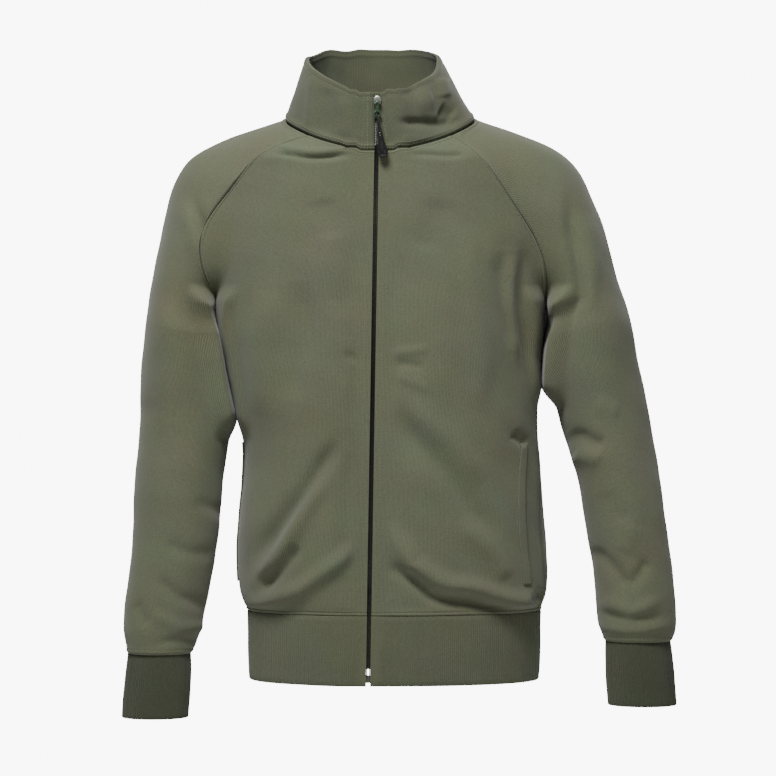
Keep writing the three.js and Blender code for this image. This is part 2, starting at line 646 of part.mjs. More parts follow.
const innerColumns = (t) => steps(COLLAR_COLUMNS).map((u) => {
  const p = collarPoint(mix(collarStart, collarEnd, u), t);
  if (u === 0 || u === 1) p.x = zipX(p.z) + (u ? -INNER_PLY_BESIDE : INNER_PLY_BESIDE);
  return p;
});
const innerGrid = steps(COLLAR_ROWS).map(innerColumns);
const outerGrid = innerGrid.map((row) => {
  const ends = [LIP, -LIP].map((beside, i) => {
    const next = row[i * COLLAR_COLUMNS];
    return vec(zipX(next.z) + beside, zipY(next.z), next.z);
  });
  return [ends[0], ...row, ends[1]];
});

// ---- Trims at the back of the neck ----
const NECK_TAPE_COLUMNS = 10;
const innerPlyDepth = FABRIC * 2 + LAYER_GAP;

function neckTapeGrid() {
  const first = (COLLAR_COLUMNS - NECK_TAPE_COLUMNS) / 2;
  return [0, 1].map((j) => steps(NECK_TAPE_COLUMNS).map((t) => {
    const u = (first + t * NECK_TAPE_COLUMNS) / COLLAR_COLUMNS;
    const height = SEAM_GAP + 1 + j * NECK_TAPE_WIDTH;
    return collarPoint(mix(collarStart, collarEnd, u), height / COLLAR_BACK_HEIGHT);
  }));
}

function plate(width, height, thickness, holeWidth = 0, holeHeight = 0) {
  const shape = new THREE.Shape([
    new THREE.Vector2(-width / 2, -height / 2), new THREE.Vector2(width / 2, -height / 2),
    new THREE.Vector2(width / 2, height / 2), new THREE.Vector2(-width / 2, height / 2),
  ]);
  if (holeWidth) {
    shape.holes.push(new THREE.Path([
      new THREE.Vector2(-holeWidth / 2, -holeHeight / 2), new THREE.Vector2(-holeWidth / 2, holeHeight / 2),
      new THREE.Vector2(holeWidth / 2, holeHeight / 2), new THREE.Vector2(holeWidth / 2, -holeHeight / 2),
    ]));
  }
  return new THREE.ExtrudeGeometry(shape, { depth: thickness, bevelEnabled: false }).rotateX(Math.PI / 2);
}

// ---- Welt pockets ----
function sideStrip(side, from, to, low, high, columns, rows) {
  const sign = sideSign[side];
  return steps(rows).map((v) => steps(columns).map((u) => {
    const z = mix(low, high, v);
    const base = torsoPoint(sign * POCKET_ANGLE + twistAt(z), z);
    const across = outward(torsoField, base).cross(vec(0, 0, 1)).multiplyScalar(-sign).normalize();
    return toSurface(torsoField, base.addScaledVector(across, mix(from, to, u)));
  }));
}
const POCKET_LOW = WAIST_SEAM + POCKET_BOTTOM_ABOVE_SEAM;
const POCKET_HIGH = POCKET_LOW + POCKET_LENGTH;
const MOUTH_FROM = WELT_WIDTH - MOUTH_UNDER_WELT;
const MOUTH_END_INSET = 6;
const BAG_GAP = 1.3; // the faceted panel dips inwards between its corners

function pocketMouth(side) {
  const grid = sideStrip(side, MOUTH_FROM, MOUTH_FROM + MOUTH_WIDTH,
    POCKET_LOW + MOUTH_END_INSET, POCKET_HIGH - MOUTH_END_INSET, 1, 4);
  return asManifold(cloth(grid, torsoField, BAG_DEPTH + 2, false, 5));
}

// A block that follows the panel, drawn in on all sides by a margin (a negative one lets it out).
function bagBlock(side, margin) {
  const end = MOUTH_FROM + MOUTH_WIDTH + 5;
  const grid = sideStrip(side, -BAG_WIDTH + margin, end - margin, WAIST_SEAM + 8 + margin,
    POCKET_HIGH + 8 - margin, 10, 4);
  return asManifold(cloth(grid, torsoField, BAG_DEPTH - 2 * margin, false, -FABRIC - BAG_GAP - margin));
}

function pocketBag(side) {
  return asGeometry(bagBlock(side, 0).subtract(bagBlock(side, BAG_FABRIC)).subtract(pocketMouth(side)));
}

function pocketWelt(side) {
  const grid = sideStrip(side, 0, WELT_WIDTH, POCKET_LOW, POCKET_HIGH, 2, 6);
  return cloth(grid, torsoField, WELT_THICKNESS, false, LAYER_GAP + WELT_THICKNESS);
}

// The faceted panel can swell past the true surface, so it is eased where the welt lies on it.
function weltSeat(side) {
  const grid = sideStrip(side, -SEAM_GAP, WELT_WIDTH + SEAM_GAP, POCKET_LOW - SEAM_GAP, POCKET_HIGH + SEAM_GAP, 2, 6);
  return asManifold(cloth(grid, torsoField, WELT_THICKNESS + 2 * LAYER_GAP, false, WELT_THICKNESS + 2 * LAYER_GAP));
}

// ---- Zip, set out from the straight line of the slit ----
const STACK = Math.max(FABRIC, RIB) + SLIDER_CLEARANCE; // back of the cloth to the slider's front plate
const CHAIN_MIDDLE = STACK + SLIDER_PLATE + SLIDER_CLEARANCE + CHAIN_THICKNESS / 2;
const SLIDER_TOP = STOP_TOP + STOP_HEIGHT + 0.5;
const CHAIN_TOP = SLIDER_TOP;
const BOX_TOP = zipLength - ZIP_HEM_MARGIN - BOX_HEIGHT;
const CHAIN_BOTTOM = BOX_TOP - PIN_ABOVE_BOX - TOOTH_CLEARANCE;
const FACING_INNER = SLIDER_WIDTH / 2 + 1.2;
const toZip = new THREE.Matrix4().makeBasis(zipSide, zipDown, zipOut).setPosition(zipTop);

function welded(geometry) {
  const clean = geometry.clone();
  for (const name of ['normal', 'uv']) clean.deleteAttribute(name);
  return mergeVertices(clean, 1e-4);
}

// Across, down and out form a left-handed frame, so each face is turned round as it is placed.
function inZip(geometry) {
  const placed = welded(geometry).applyMatrix4(toZip);
  placed.setIndex(Array.from(placed.index.array).reverse());
  return placed;
}

// A block in zip coordinates: across, down and out from the slit.
function block(side0, side1, down0, down1, out0, out1) {
  const box = new THREE.BoxGeometry(side1 - side0, down1 - down0, out1 - out0);
  return box.translate((side0 + side1) / 2, (down0 + down1) / 2, (out0 + out1) / 2);
}

const merged = (geometry) => asManifold(welded(geometry));
const joined = (parts) => parts.map(merged).reduce((whole, part) => whole.add(part));

function teeth(side) {
  const sign = sideSign[side];
  const half = CHAIN_WIDTH / 2;
  const root = half - BEAD_WIDTH;
  const tip = -root + TOOTH_CLEARANCE + 0.1;
  const toothLength = TOOTH_PITCH / 2 - TOOTH_CLEARANCE;
  const lead = side === 'left' ? 0 : TOOTH_PITCH / 2;
  const count = Math.floor((CHAIN_BOTTOM - CHAIN_TOP - lead) / TOOTH_PITCH);
  const outline = [new THREE.Vector2(sign * half, CHAIN_TOP)];
  outline.push(new THREE.Vector2(sign * half, CHAIN_BOTTOM), new THREE.Vector2(sign * root, CHAIN_BOTTOM));
  for (let i = count - 1; i >= 0; i -= 1) {
    const start = CHAIN_TOP + lead + 0.2 + i * TOOTH_PITCH;
    outline.push(
      new THREE.Vector2(sign * root, start + toothLength), new THREE.Vector2(sign * tip, start + toothLength - 0.3),
      new THREE.Vector2(sign * tip, start + 0.3), new THREE.Vector2(sign * root, start),
    );
  }
  outline.push(new THREE.Vector2(sign * root, CHAIN_TOP));
  const shape = new THREE.Shape(outline);
  const comb = new THREE.ExtrudeGeometry(shape, { depth: CHAIN_THICKNESS, bevelEnabled: false });
  return inZip(comb.translate(0, 0, -CHAIN_MIDDLE - CHAIN_THICKNESS / 2));
}

function tape(side) {
  const sign = sideSign[side];
  const edges = [CHAIN_WIDTH / 2 + TOOTH_CLEARANCE, PLACKET - 1].map((w) => w * sign).sort((a, b) => a - b);
  return inZip(block(edges[0], edges[1], STOP_TOP, BOX_TOP + BOX_HEIGHT,
    -CHAIN_MIDDLE - TAPE_THICKNESS / 2, -CHAIN_MIDDLE + TAPE_THICKNESS / 2));
}

function facing(side) {
  const sign = sideSign[side];
  const edges = [FACING_INNER, PLACKET - 1].map((w) => w * sign).sort((a, b) => a - b);
  return inZip(block(edges[0], edges[1], STOP_TOP, BOX_TOP + BOX_HEIGHT,
    -CHAIN_MIDDLE + TAPE_THICKNESS / 2 + LAYER_GAP, -STACK));
}

function topStop(side) {
  const inner = 0.8 * sideSign[side];
  const outer = (0.8 + STOP_WIDTH) * sideSign[side];
  return inZip(block(Math.min(inner, outer), Math.max(inner, outer), STOP_TOP, STOP_TOP + STOP_HEIGHT,
    -CHAIN_MIDDLE - 1.4, -CHAIN_MIDDLE + 1.4));
}

const PIN_FROM = 0.9;
function retainingBox() {
  const shell = block(-BOX_WIDTH / 2, BOX_WIDTH / 2, BOX_TOP, BOX_TOP + BOX_HEIGHT,
    -CHAIN_MIDDLE - BOX_DEPTH / 2, -CHAIN_MIDDLE + BOX_DEPTH / 2);
  const fixedPin = block(-PIN_FROM - PIN_SIZE, -PIN_FROM, BOX_TOP - PIN_ABOVE_BOX, BOX_TOP + 1,
    -CHAIN_MIDDLE - PIN_SIZE / 2, -CHAIN_MIDDLE + PIN_SIZE / 2);
  const bore = block(PIN_FROM - LAYER_GAP, PIN_FROM + PIN_SIZE + LAYER_GAP, BOX_TOP - 1,
    BOX_TOP + PIN_IN_BOX + LAYER_GAP,
    -CHAIN_MIDDLE - PIN_SIZE / 2 - LAYER_GAP, -CHAIN_MIDDLE + PIN_SIZE / 2 + LAYER_GAP);
  const tapeSlots = [-1, 1].map((sign) => {
    const edges = [CHAIN_WIDTH / 2 + TOOTH_CLEARANCE - LAYER_GAP, BOX_WIDTH].map((w) => w * sign).sort((a, b) => a - b);
    return block(edges[0], edges[1], BOX_TOP - 1, BOX_TOP + BOX_HEIGHT + 1,
      -CHAIN_MIDDLE - TAPE_THICKNESS / 2 - LAYER_GAP, -CHAIN_MIDDLE + TAPE_THICKNESS / 2 + LAYER_GAP);
  });
  const solid = joined([shell, fixedPin]).subtract(merged(bore));
  return inZip(asGeometry(tapeSlots.reduce((whole, slot) => whole.subtract(merged(slot)), solid)));
}

function insertionPin() {
  return inZip(block(PIN_FROM, PIN_FROM + PIN_SIZE, BOX_TOP - PIN_ABOVE_BOX, BOX_TOP + PIN_IN_BOX,
    -CHAIN_MIDDLE - PIN_SIZE / 2, -CHAIN_MIDDLE + PIN_SIZE / 2));
}

// Slider: a front plate behind the cloth, a post through the slit, a crown in front and a back plate.
const BRIDGE_OUT = CROWN_STANDOFF + CROWN_THICKNESS + TAB_BOSS_RADIUS + BRIDGE_CLEARANCE;
const BRIDGE_DOWN = SLIDER_TOP + SLIDER_LENGTH - LUG_LENGTH / 2;
const LUG_INNER = TAB_WIDTH / 2 + BRIDGE_CLEARANCE;

function rod(radius, length, across, down, out, sides = 16) {
  const cylinder = new THREE.CylinderGeometry(radius, radius, length, sides);
  return cylinder.rotateZ(Math.PI / 2).translate(across, down, out);
}

function sliderBody() {
  const crownOut = CROWN_STANDOFF + CROWN_THICKNESS;
  const middle = SLIDER_TOP + SLIDER_LENGTH / 2;
  const frontPlate = block(-SLIDER_WIDTH / 2, SLIDER_WIDTH / 2, SLIDER_TOP, SLIDER_TOP + SLIDER_LENGTH,
    -STACK - SLIDER_PLATE, -STACK);
  const post = block(-POST_WIDTH / 2, POST_WIDTH / 2, middle - POST_LENGTH / 2, middle + POST_LENGTH / 2,
    -STACK - SLIDER_PLATE / 2, crownOut - CROWN_THICKNESS / 2);
  const crownShape = new THREE.Shape();
  const half = CROWN_WIDTH / 2;
  crownShape.moveTo(-half, half);
  crownShape.absarc(0, SLIDER_LENGTH - half, half, Math.PI, 0, true);
  crownShape.absarc(0, half, half, 0, -Math.PI, true);
  const crown = new THREE.ExtrudeGeometry(crownShape, { depth: CROWN_THICKNESS, bevelEnabled: false, curveSegments: 8 })
    .translate(0, SLIDER_TOP, CROWN_STANDOFF);
  const lugs = [-1, 1].map((sign) => {
    const edges = [LUG_INNER * sign, (LUG_INNER + LUG_WIDTH) * sign].sort((a, b) => a - b);
    return block(edges[0], edges[1], BRIDGE_DOWN - LUG_LENGTH / 2, BRIDGE_DOWN + LUG_LENGTH / 2 - 0.6,
      crownOut - 0.5, BRIDGE_OUT + BRIDGE_RADIUS + 0.6);
  });
  const bridge = rod(BRIDGE_RADIUS, 2 * LUG_INNER + LUG_WIDTH, 0, BRIDGE_DOWN, BRIDGE_OUT);
  return inZip(asGeometry(joined([frontPlate, post, crown, ...lugs, bridge])));
}

function sliderBackPlate() {
  const back = CHAIN_MIDDLE + CHAIN_THICKNESS / 2 + SLIDER_CLEARANCE;
  return inZip(block(-SLIDER_WIDTH / 2, SLIDER_WIDTH / 2, SLIDER_TOP, SLIDER_TOP + SLIDER_LENGTH,
    -back - SLIDER_PLATE, -back));
}

// Pull tab: hangs from the bridge, with a round eye for the cord.
const EYE_DOWN = BRIDGE_DOWN + TAB_LENGTH - EYE_RADIUS;
function pullTab() {
  const boss = rod(TAB_BOSS_RADIUS, TAB_WIDTH, 0, BRIDGE_DOWN, BRIDGE_OUT);
  const stem = block(-TAB_WIDTH / 2, TAB_WIDTH / 2, BRIDGE_DOWN, EYE_DOWN,
    BRIDGE_OUT - TAB_THICKNESS / 2, BRIDGE_OUT + TAB_THICKNESS / 2);
  const disc = (radius, thickness) => new THREE.CylinderGeometry(radius, radius, thickness, 20)
    .rotateX(Math.PI / 2).translate(0, EYE_DOWN, BRIDGE_OUT);
  const bore = rod(BRIDGE_RADIUS + BRIDGE_CLEARANCE, TAB_WIDTH + 2, 0, BRIDGE_DOWN, BRIDGE_OUT);
  const solid = joined([boss, stem, disc(EYE_RADIUS, TAB_THICKNESS)]);
  return inZip(asGeometry(solid.subtract(merged(disc(EYE_HOLE_RADIUS, TAB_THICKNESS + 1))).subtract(merged(bore))));
}

// Cord and tip hang from the lower rim of the eye and lean to the right.
const TIP_OUT = TIP_BULB_RADIUS + 1;
const RIM_DOWN = EYE_DOWN + (EYE_HOLE_RADIUS + EYE_RADIUS) / 2;
const RIM_CORNER = Math.hypot((EYE_RADIUS - EYE_HOLE_RADIUS) / 2, TAB_THICKNESS / 2);
const WRAP_RADIUS = RIM_CORNER + CORD_RADIUS + LAYER_GAP;
function hang(geometry) {
  geometry.translate(0, -RIM_DOWN, -BRIDGE_OUT).rotateZ(-PULLER_LEAN).translate(0, RIM_DOWN, BRIDGE_OUT);
  return inZip(geometry);
}

function pullerCord() {
  const end = EYE_DOWN + CORD_DROP - LAYER_GAP;
  const wrap = steps(6).map((t) => vec(0, RIM_DOWN - WRAP_RADIUS * Math.sin(Math.PI * t),
    BRIDGE_OUT - WRAP_RADIUS * Math.cos(Math.PI * t)));
  const points = [
    vec(-CORD_SPREAD, end, TIP_OUT), vec(-CORD_SPREAD, end - 4, TIP_OUT),
    vec(-0.8, RIM_DOWN + 5, BRIDGE_OUT - WRAP_RADIUS + 0.6), ...wrap,
    vec(0.8, RIM_DOWN + 5, BRIDGE_OUT + WRAP_RADIUS), vec(CORD_SPREAD, end - 4, TIP_OUT),
    vec(CORD_SPREAD, end, TIP_OUT),
  ];
  const circle = new THREE.Shape(steps(8).slice(1).map((t) => {
    const a = t * 2 * Math.PI;
    return new THREE.Vector2(CORD_RADIUS * Math.cos(a), CORD_RADIUS * Math.sin(a));
  }));
  const path = new THREE.CatmullRomCurve3(points, false, 'centripetal');
  return hang(new THREE.ExtrudeGeometry(circle, { steps: 36, extrudePath: path, bevelEnabled: false }));
}

function pullerTip() {
  const profile = [[0, 0], [TIP_TOP_RADIUS * 0.8, 0], [TIP_TOP_RADIUS, 0.8], [TIP_TOP_RADIUS, 6],
    [mix(TIP_TOP_RADIUS, TIP_BULB_RADIUS, 0.35), 13], [TIP_BULB_RADIUS * 0.93, 19],
    [TIP_BULB_RADIUS, TIP_LENGTH - 6.5], [TIP_BULB_RADIUS * 0.88, TIP_LENGTH - 3],
    [TIP_BULB_RADIUS * 0.55, TIP_LENGTH - 0.8], [0, TIP_LENGTH]];
  const lathe = new THREE.LatheGeometry(profile.map(([r, y]) => new THREE.Vector2(r, y)), 18);
  return hang(lathe.translate(0, EYE_DOWN + CORD_DROP, TIP_OUT));
}

// ---- Assembly ----
for (const side of ['left', 'right']) {
  const panel = asManifold(cloth(frontPanel(side), bodyField(side), FABRIC))
    .subtract(weltSeat(side)).subtract(bagBlock(side, -LAYER_GAP)).subtract(pocketMouth(side));
  add(`front_${side}`, asGeometry(panel), fleece);
}
add('back_panel', cloth(backPanel(), wholeField, FABRIC), fleece);
for (const side of ['left', 'right']) {
  add(`sleeve_${side}`, cloth(sleeveGrid(side), sleeveField(side), FABRIC, true), fleece);
}
add('collar_outer', cloth(outerGrid, collarField, FABRIC), fleece);
add('collar_inner', cloth(innerGrid, collarField, FABRIC, false, -FABRIC - LAYER_GAP), fleeceInside);
add('waistband', waistband(), ribKnit);
add('cuff_left', cuff('left'), ribKnit);
add('cuff_right', cuff('right'), ribKnit);
for (const side of ['left', 'right']) {
  add(`pocket_welt_${side}`, pocketWelt(side), fleece);
  add(`pocket_bag_${side}`, pocketBag(side), fleeceInside);
  add(`zip_tape_${side}`, tape(side), tapeCloth);
  add(`zip_facing_${side}`, facing(side), fleeceInside);
  add(`teeth_${side}`, teeth(side), blackPlastic);
  add(`top_stop_${side}`, topStop(side), steel);
}
add('retaining_box', retainingBox(), steel);
add('insertion_pin', insertionPin(), steel);
add('slider_body', sliderBody(), steel);
add('slider_back_plate', sliderBackPlate(), steel);
add('pull_tab', pullTab(), greenMetal);
add('puller_cord', pullerCord(), blackCord);
add('puller_tip', pullerTip(), blackRubber);

const tapeDepth = innerPlyDepth + LAYER_GAP;
add('neck_tape', cloth(neckTapeGrid(), collarField, NECK_TAPE_THICKNESS, false, -tapeDepth), tapeCloth);

const backNeck = collarPoint(Math.PI, SEAM_GAP / COLLAR_BACK_HEIGHT);
const loopAngle = Math.PI - Math.asin((LOOP_WIDTH / 2 + 2) / (NECK_HALF_WIDTH - tapeDepth));
const besideNeck = collarPoint(loopAngle, (NECK_TAPE_WIDTH + 2) / COLLAR_BACK_HEIGHT);
const loopY = besideNeck.y - tapeDepth - NECK_TAPE_THICKNESS - 2 * LAYER_GAP;
const loopZ = backNeck.z + NECK_TAPE_WIDTH - LOOP_DROP / 2;
const loop = plate(LOOP_WIDTH, LOOP_DROP, LOOP_THICKNESS, LOOP_WIDTH - 2 * LOOP_BAND, LOOP_DROP - 2 * LOOP_BAND);
add('hanger_loop', loop.translate(0, loopY, loopZ), tapeCloth);
const labelTop = backNeck.z;
const label = plate(LABEL_WIDTH, LABEL_LENGTH, LABEL_THICKNESS);
const labelY = backNeck.y - tapeDepth - LABEL_WIDTH ** 2 / (8 * RIM_HALF_WIDTH) - LAYER_GAP;
add('care_label', label.translate(0, labelY, labelTop - LABEL_LENGTH / 2), labelSatin);

export default group;
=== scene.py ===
import math

import bpy
import numpy as np
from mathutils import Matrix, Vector


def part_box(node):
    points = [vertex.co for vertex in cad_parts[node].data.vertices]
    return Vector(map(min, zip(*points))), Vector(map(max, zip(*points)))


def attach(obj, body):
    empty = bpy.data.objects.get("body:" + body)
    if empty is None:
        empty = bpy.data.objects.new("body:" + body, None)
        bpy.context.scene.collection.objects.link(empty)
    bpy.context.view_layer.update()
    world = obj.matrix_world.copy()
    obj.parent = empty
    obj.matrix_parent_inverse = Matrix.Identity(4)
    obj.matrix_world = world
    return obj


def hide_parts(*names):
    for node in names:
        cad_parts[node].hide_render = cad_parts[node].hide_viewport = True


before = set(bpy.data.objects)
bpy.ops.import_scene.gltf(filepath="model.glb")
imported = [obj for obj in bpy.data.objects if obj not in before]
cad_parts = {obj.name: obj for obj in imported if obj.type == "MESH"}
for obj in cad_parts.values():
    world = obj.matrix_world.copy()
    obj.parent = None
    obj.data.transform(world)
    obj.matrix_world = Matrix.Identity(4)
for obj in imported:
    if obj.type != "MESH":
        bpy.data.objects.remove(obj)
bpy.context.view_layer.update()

# ---- Front panels ----
# Two fleece panels from the waistband seam up to the neck and along the raglan seams, laid on the
# body form and drawn into soft hanging folds. Each stops at a flat edge beside the zip.
CHEST_W, CHEST_D = 201, 112
WAIST_W, WAIST_D = 177, 120
HEM_W, HEM_D, HEM_SWAY, HEM_TWIST = 174, 122, 17, -0.23
NECK_W, NECK_D, NECK_Y = 113, 79, -14
WAIST_SEAM, ARMPIT, HEM, NECK_FRONT = -588, -235, -668, -43
COLLAR_TOP = 25
PLACKET = 18
LIP = 2.4
FABRIC, RIB = 2.5, 3.0
SEAM_GAP, LAYER_GAP = 0.4, 0.35
SIGN = {"left": -1, "right": 1}


def mix(a, b, t):
    return a + (b - a) * t


def smooth(t):
    t = np.clip(t, 0, 1)
    return t * t * (3 - 2 * t)


def section_table(rows):
    """Rows (z, cx, cy, a, b), lowest first, read with a smooth curve and stored every half millimetre."""
    rows = np.array(rows, float)
    z = np.arange(rows[0, 0], rows[-1, 0] + 0.01, 0.5)
    i = np.clip(np.searchsorted(rows[:, 0], z, side="right") - 1, 0, len(rows) - 2)
    low, high = rows[i], rows[i + 1]
    before, after = rows[np.maximum(i - 1, 0)], rows[np.minimum(i + 2, len(rows) - 1)]
    span = high[:, :1] - low[:, :1]
    t = (z[:, None] - low[:, :1]) / span
    slope_low = (high - before) / (high[:, :1] - before[:, :1]) * span
    slope_high = (after - low) / (after[:, :1] - low[:, :1]) * span
    values = (1 + 2 * t) * (1 - t) ** 2 * low + t * (1 - t) ** 2 * slope_low
    values += t * t * (3 - 2 * t) * high + t * t * (t - 1) * slope_high
    return z, values[:, 1:]


def read_section(table, z):
    levels, values = table
    return [np.interp(z, levels, values[:, k]) for k in range(4)]


TORSO_TOP = 45
TORSO = section_table([
    (HEM, HEM_SWAY, 0, HEM_W, HEM_D),
    (WAIST_SEAM, HEM_SWAY, 0, HEM_W + 2, HEM_D + 1),
    (WAIST_SEAM + 25, HEM_SWAY, 2, HEM_W + 10, HEM_D + 5),
    (WAIST_SEAM + 80, HEM_SWAY - 3, 2, HEM_W + 11, HEM_D + 4),
    (mix(WAIST_SEAM, ARMPIT, 0.55), 13, 3, WAIST_W, WAIST_D),
    (ARMPIT - 70, 5, 4, mix(WAIST_W, CHEST_W, 0.35), CHEST_D + 6),
    (ARMPIT + 30, 0, 4, CHEST_W, CHEST_D),
    (ARMPIT + 100, 0, 3, CHEST_W + 9, CHEST_D - 6),
    (-60, 0, 2, CHEST_W + 14, NECK_D + 19),
    (-43, 0, 2, CHEST_W + 13, NECK_D + 16),
    (-20, 0, 4, mix(NECK_W, CHEST_W, 0.74), NECK_D - 2),
    (0, 0, 10, NECK_W + 6, NECK_D - 18),
    (14, 0, 14, NECK_W - 24, NECK_D - 27),
    (TORSO_TOP, 0, 14, 30, 20),
])


def zip_y(z):
    return NECK_Y - NECK_D - 0.049 * (NECK_FRONT - z)


def zip_x(z):
    return mix(-2.7, -13.7, (COLLAR_TOP - z) / (COLLAR_TOP - HEM))


def torso_field(p):
    x, y, z = p[..., 0], p[..., 1], p[..., 2]
    cx, cy, a, b = read_section(TORSO, z)
    n = np.where(z > -60, mix(2.3, 2.0, smooth((z + 60) / 40)), 2.3)
    along = np.abs((x - cx) / a) ** n
    plain_front = cy - b * np.maximum(0.05, 1 - along) ** (1 / n)
    beside = np.maximum(0, np.abs(x - zip_x(z)) - PLACKET)
    near = np.exp(-((beside / 35) ** 2)) * (z < NECK_FRONT + 4) * smooth((cy - y) / 30)
    flat_y = y - (zip_y(z) - plain_front) * near
    oval = (along + np.abs((flat_y - cy) / b) ** n) ** (1 / n)
    return (oval - 1) * np.minimum(a, b) + np.maximum(0, z - TORSO_TOP)


def arm_table(drop, rows):
    """Rows (z or share of the way from armpit to cuff, inner reach, outer reach, cy, b)."""
    table = []
    for level, inner, outer, cy, b in rows:
        z = mix(ARMPIT, -drop, level) if level >= 0 else level
        table.append((z, CHEST_W + (inner + outer) / 2, cy, (outer - inner) / 2, b))
    return section_table(table[::-1]), table[0][0]


SLEEVE_DROP = {"left": 636, "right": 622}
ARMS = {
    "left": arm_table(636, [
        (-34, -30, 6, 8, 14), (-42, -40, 29, 8, 34), (-58, -45, 45, 8, 50), (-119, -43, 58, 8, 66),
        (-193, -15, 73, 7, 72), (0.01, 1, 80, 6, 74), (0.14, -7, 84, 4, 68),
        (0.3, -21, 87, 0, 62), (0.49, -15, 91, -10, 56), (0.74, -4, 97, -25, 50),
        (0.92, 12, 105, -34, 46), (1, 22, 100, -37, 40),
    ]),
    "right": arm_table(622, [
        (-30, -30, 2, 8, 14), (-38, -40, 25, 8, 34), (-54, -45, 37, 8, 50), (-110, -43, 60, 8, 66),
        (-185, -15, 83, 7, 72), (0.01, 2, 98, 6, 74), (0.14, 1, 108, 4, 68),
        (0.3, 12, 121, -1, 60), (0.5, 36, 135, -10, 55), (0.76, 52, 146, -22, 49),
        (0.94, 58, 151, -28, 46), (1, 66, 147, -30, 40),
    ]),
}


def arm_field(side, p):
    table, top = ARMS[side]
    cx, cy, a, b = read_section(table, p[..., 2])
    oval = np.hypot((p[..., 0] * SIGN[side] - cx) / a, (p[..., 1] - cy) / b)
    return (oval - 1) * np.minimum(a, b) + np.maximum(0, p[..., 2] - top)


def joined_field(own, other):
    """own form, softly joined to the other one above the armpit."""
    def field(p):
        first, second = own(p), other(p)
        k = mix(0.5, 24, smooth((p[..., 2] - ARMPIT) / 60))
        h = np.maximum(0, 1 - np.abs(first - second) / k)
        both = np.minimum(first, second) - h * h * k * 0.25
        return np.where(p[..., 2] < ARMPIT, first, both)
    return field


body_field = {s: joined_field(torso_field, lambda p, s=s: arm_field(s, p)) for s in SIGN}
sleeve_field = {s: joined_field(lambda p, s=s: arm_field(s, p), torso_field) for s in SIGN}


def whole_field(p):
    return np.where(p[..., 0] < 0, body_field["left"](p), body_field["right"](p))


def unit(v):
    return v / np.maximum(np.linalg.norm(v, axis=-1, keepdims=True), 1e-9)


def outward(field, p, h=0.5):
    steps = np.eye(3) * h
    return unit(np.stack([field(p + s) - field(p - s) for s in steps], axis=-1))


def to_surface(field, p, rounds=9):
    p = p.copy()
    for _ in range(rounds):
        n = outward(field, p)
        value = field(p)
        rate = np.maximum(0.3, np.abs(field(p + n) - value))
        p -= n * np.clip(value / rate, -15, 15)[..., None] * 0.9
    return p


def cast(field, origin, direction, reach, step=3.0):
    """First crossing of the surface along rays that start inside it."""
    direction = np.broadcast_to(direction, np.broadcast(origin, direction).shape)
    near = np.zeros(direction.shape[:-1])
    far = np.full(near.shape, float(reach))
    open_ray = np.ones(near.shape, bool)
    for r in np.arange(step, reach, step):
        outside = field(origin + direction * r) > 0
        far = np.where(open_ray & outside, r, far)
        open_ray &= ~outside
        near = np.where(open_ray, r, near)
    for _ in range(22):
        middle = (near + far) / 2
        outside = field(origin + direction * middle[..., None]) > 0
        far, near = np.where(outside, middle, far), np.where(outside, near, middle)
    return origin + direction * ((near + far) / 2)[..., None]


def points(x, y, z):
    return np.stack(np.broadcast_arrays(x, y, z), axis=-1).astype(float)


def neck_point(angle):
    """Angle round the neck: 0 at the front, growing towards +X."""
    angle = np.asarray(angle, float)
    x = NECK_W * np.sin(angle)
    y = NECK_Y - NECK_D * np.cos(angle)
    beside = smooth((np.abs(x - zip_x(NECK_FRONT)) - PLACKET) / 25)
    y = np.where(np.cos(angle) > 0, mix(NECK_Y - NECK_D, y, beside), y)
    low, high = np.full(x.shape, -90.0), np.full(x.shape, 44.0)
    for _ in range(26):
        middle = (low + high) / 2
        outside = whole_field(points(x, y, middle)) > 0
        high, low = np.where(outside, middle, high), np.where(outside, low, middle)
    return points(x, y, low)


def torso_point(angle, z):
    cx, cy, _, _ = read_section(TORSO, np.asarray(z, float))
    return cast(torso_field, points(cx, cy, z), points(np.sin(angle), -np.cos(angle), 0), 260)


def twist_at(z):
    return HEM_TWIST * smooth((ARMPIT - z) / 260)


# The raglan seam bends round a hinge line inside the body, in polar form.
HINGE_X, HINGE_Z = CHEST_W - 16, ARMPIT - 27
REACH, CENTRE_Y = 105, 6
FRONT_ANGLE, BACK_ANGLE = 0.83, 2.55
# How each seam bends: its angle at the armpit, its bow outwards, and how early each part sets in.
BEND = {"left": (1.41, 0.433, 1.275, 0.945, 1.325), "right": (1.212, 0.198, 1.591, 0.981, 1.229)}


def polar(side, distance, angle, y):
    return points(SIGN[side] * (HINGE_X + distance * np.cos(angle)), y, HINGE_Z + distance * np.sin(angle))


def raglan(side, neck_angle, t):
    """The seam from the neck (t = 0) to the armpit (t = 1)."""
    neck = neck_point(neck_angle * SIGN[side])
    reach = math.hypot(abs(neck[0]) - HINGE_X, neck[2] - HINGE_Z)
    turn0 = math.atan2(neck[2] - HINGE_Z, abs(neck[0]) - HINGE_X)
    start = math.atan2(neck[1] - CENTRE_Y, reach - REACH)
    low, bulge, fall, bow, roll = BEND[side]
    around = mix(start, math.pi * np.sign(start), t ** roll)
    turn = mix(turn0, low, t ** fall) - bulge * np.sin(math.pi * t ** bow)
    origin = polar(side, REACH, turn, CENTRE_Y)
    tip = polar(side, REACH + np.cos(around), turn, CENTRE_Y + np.sin(around))
    found = cast(sleeve_field[side], origin, unit(tip - origin), 190, 1.5)
    found[0] = neck
    return found


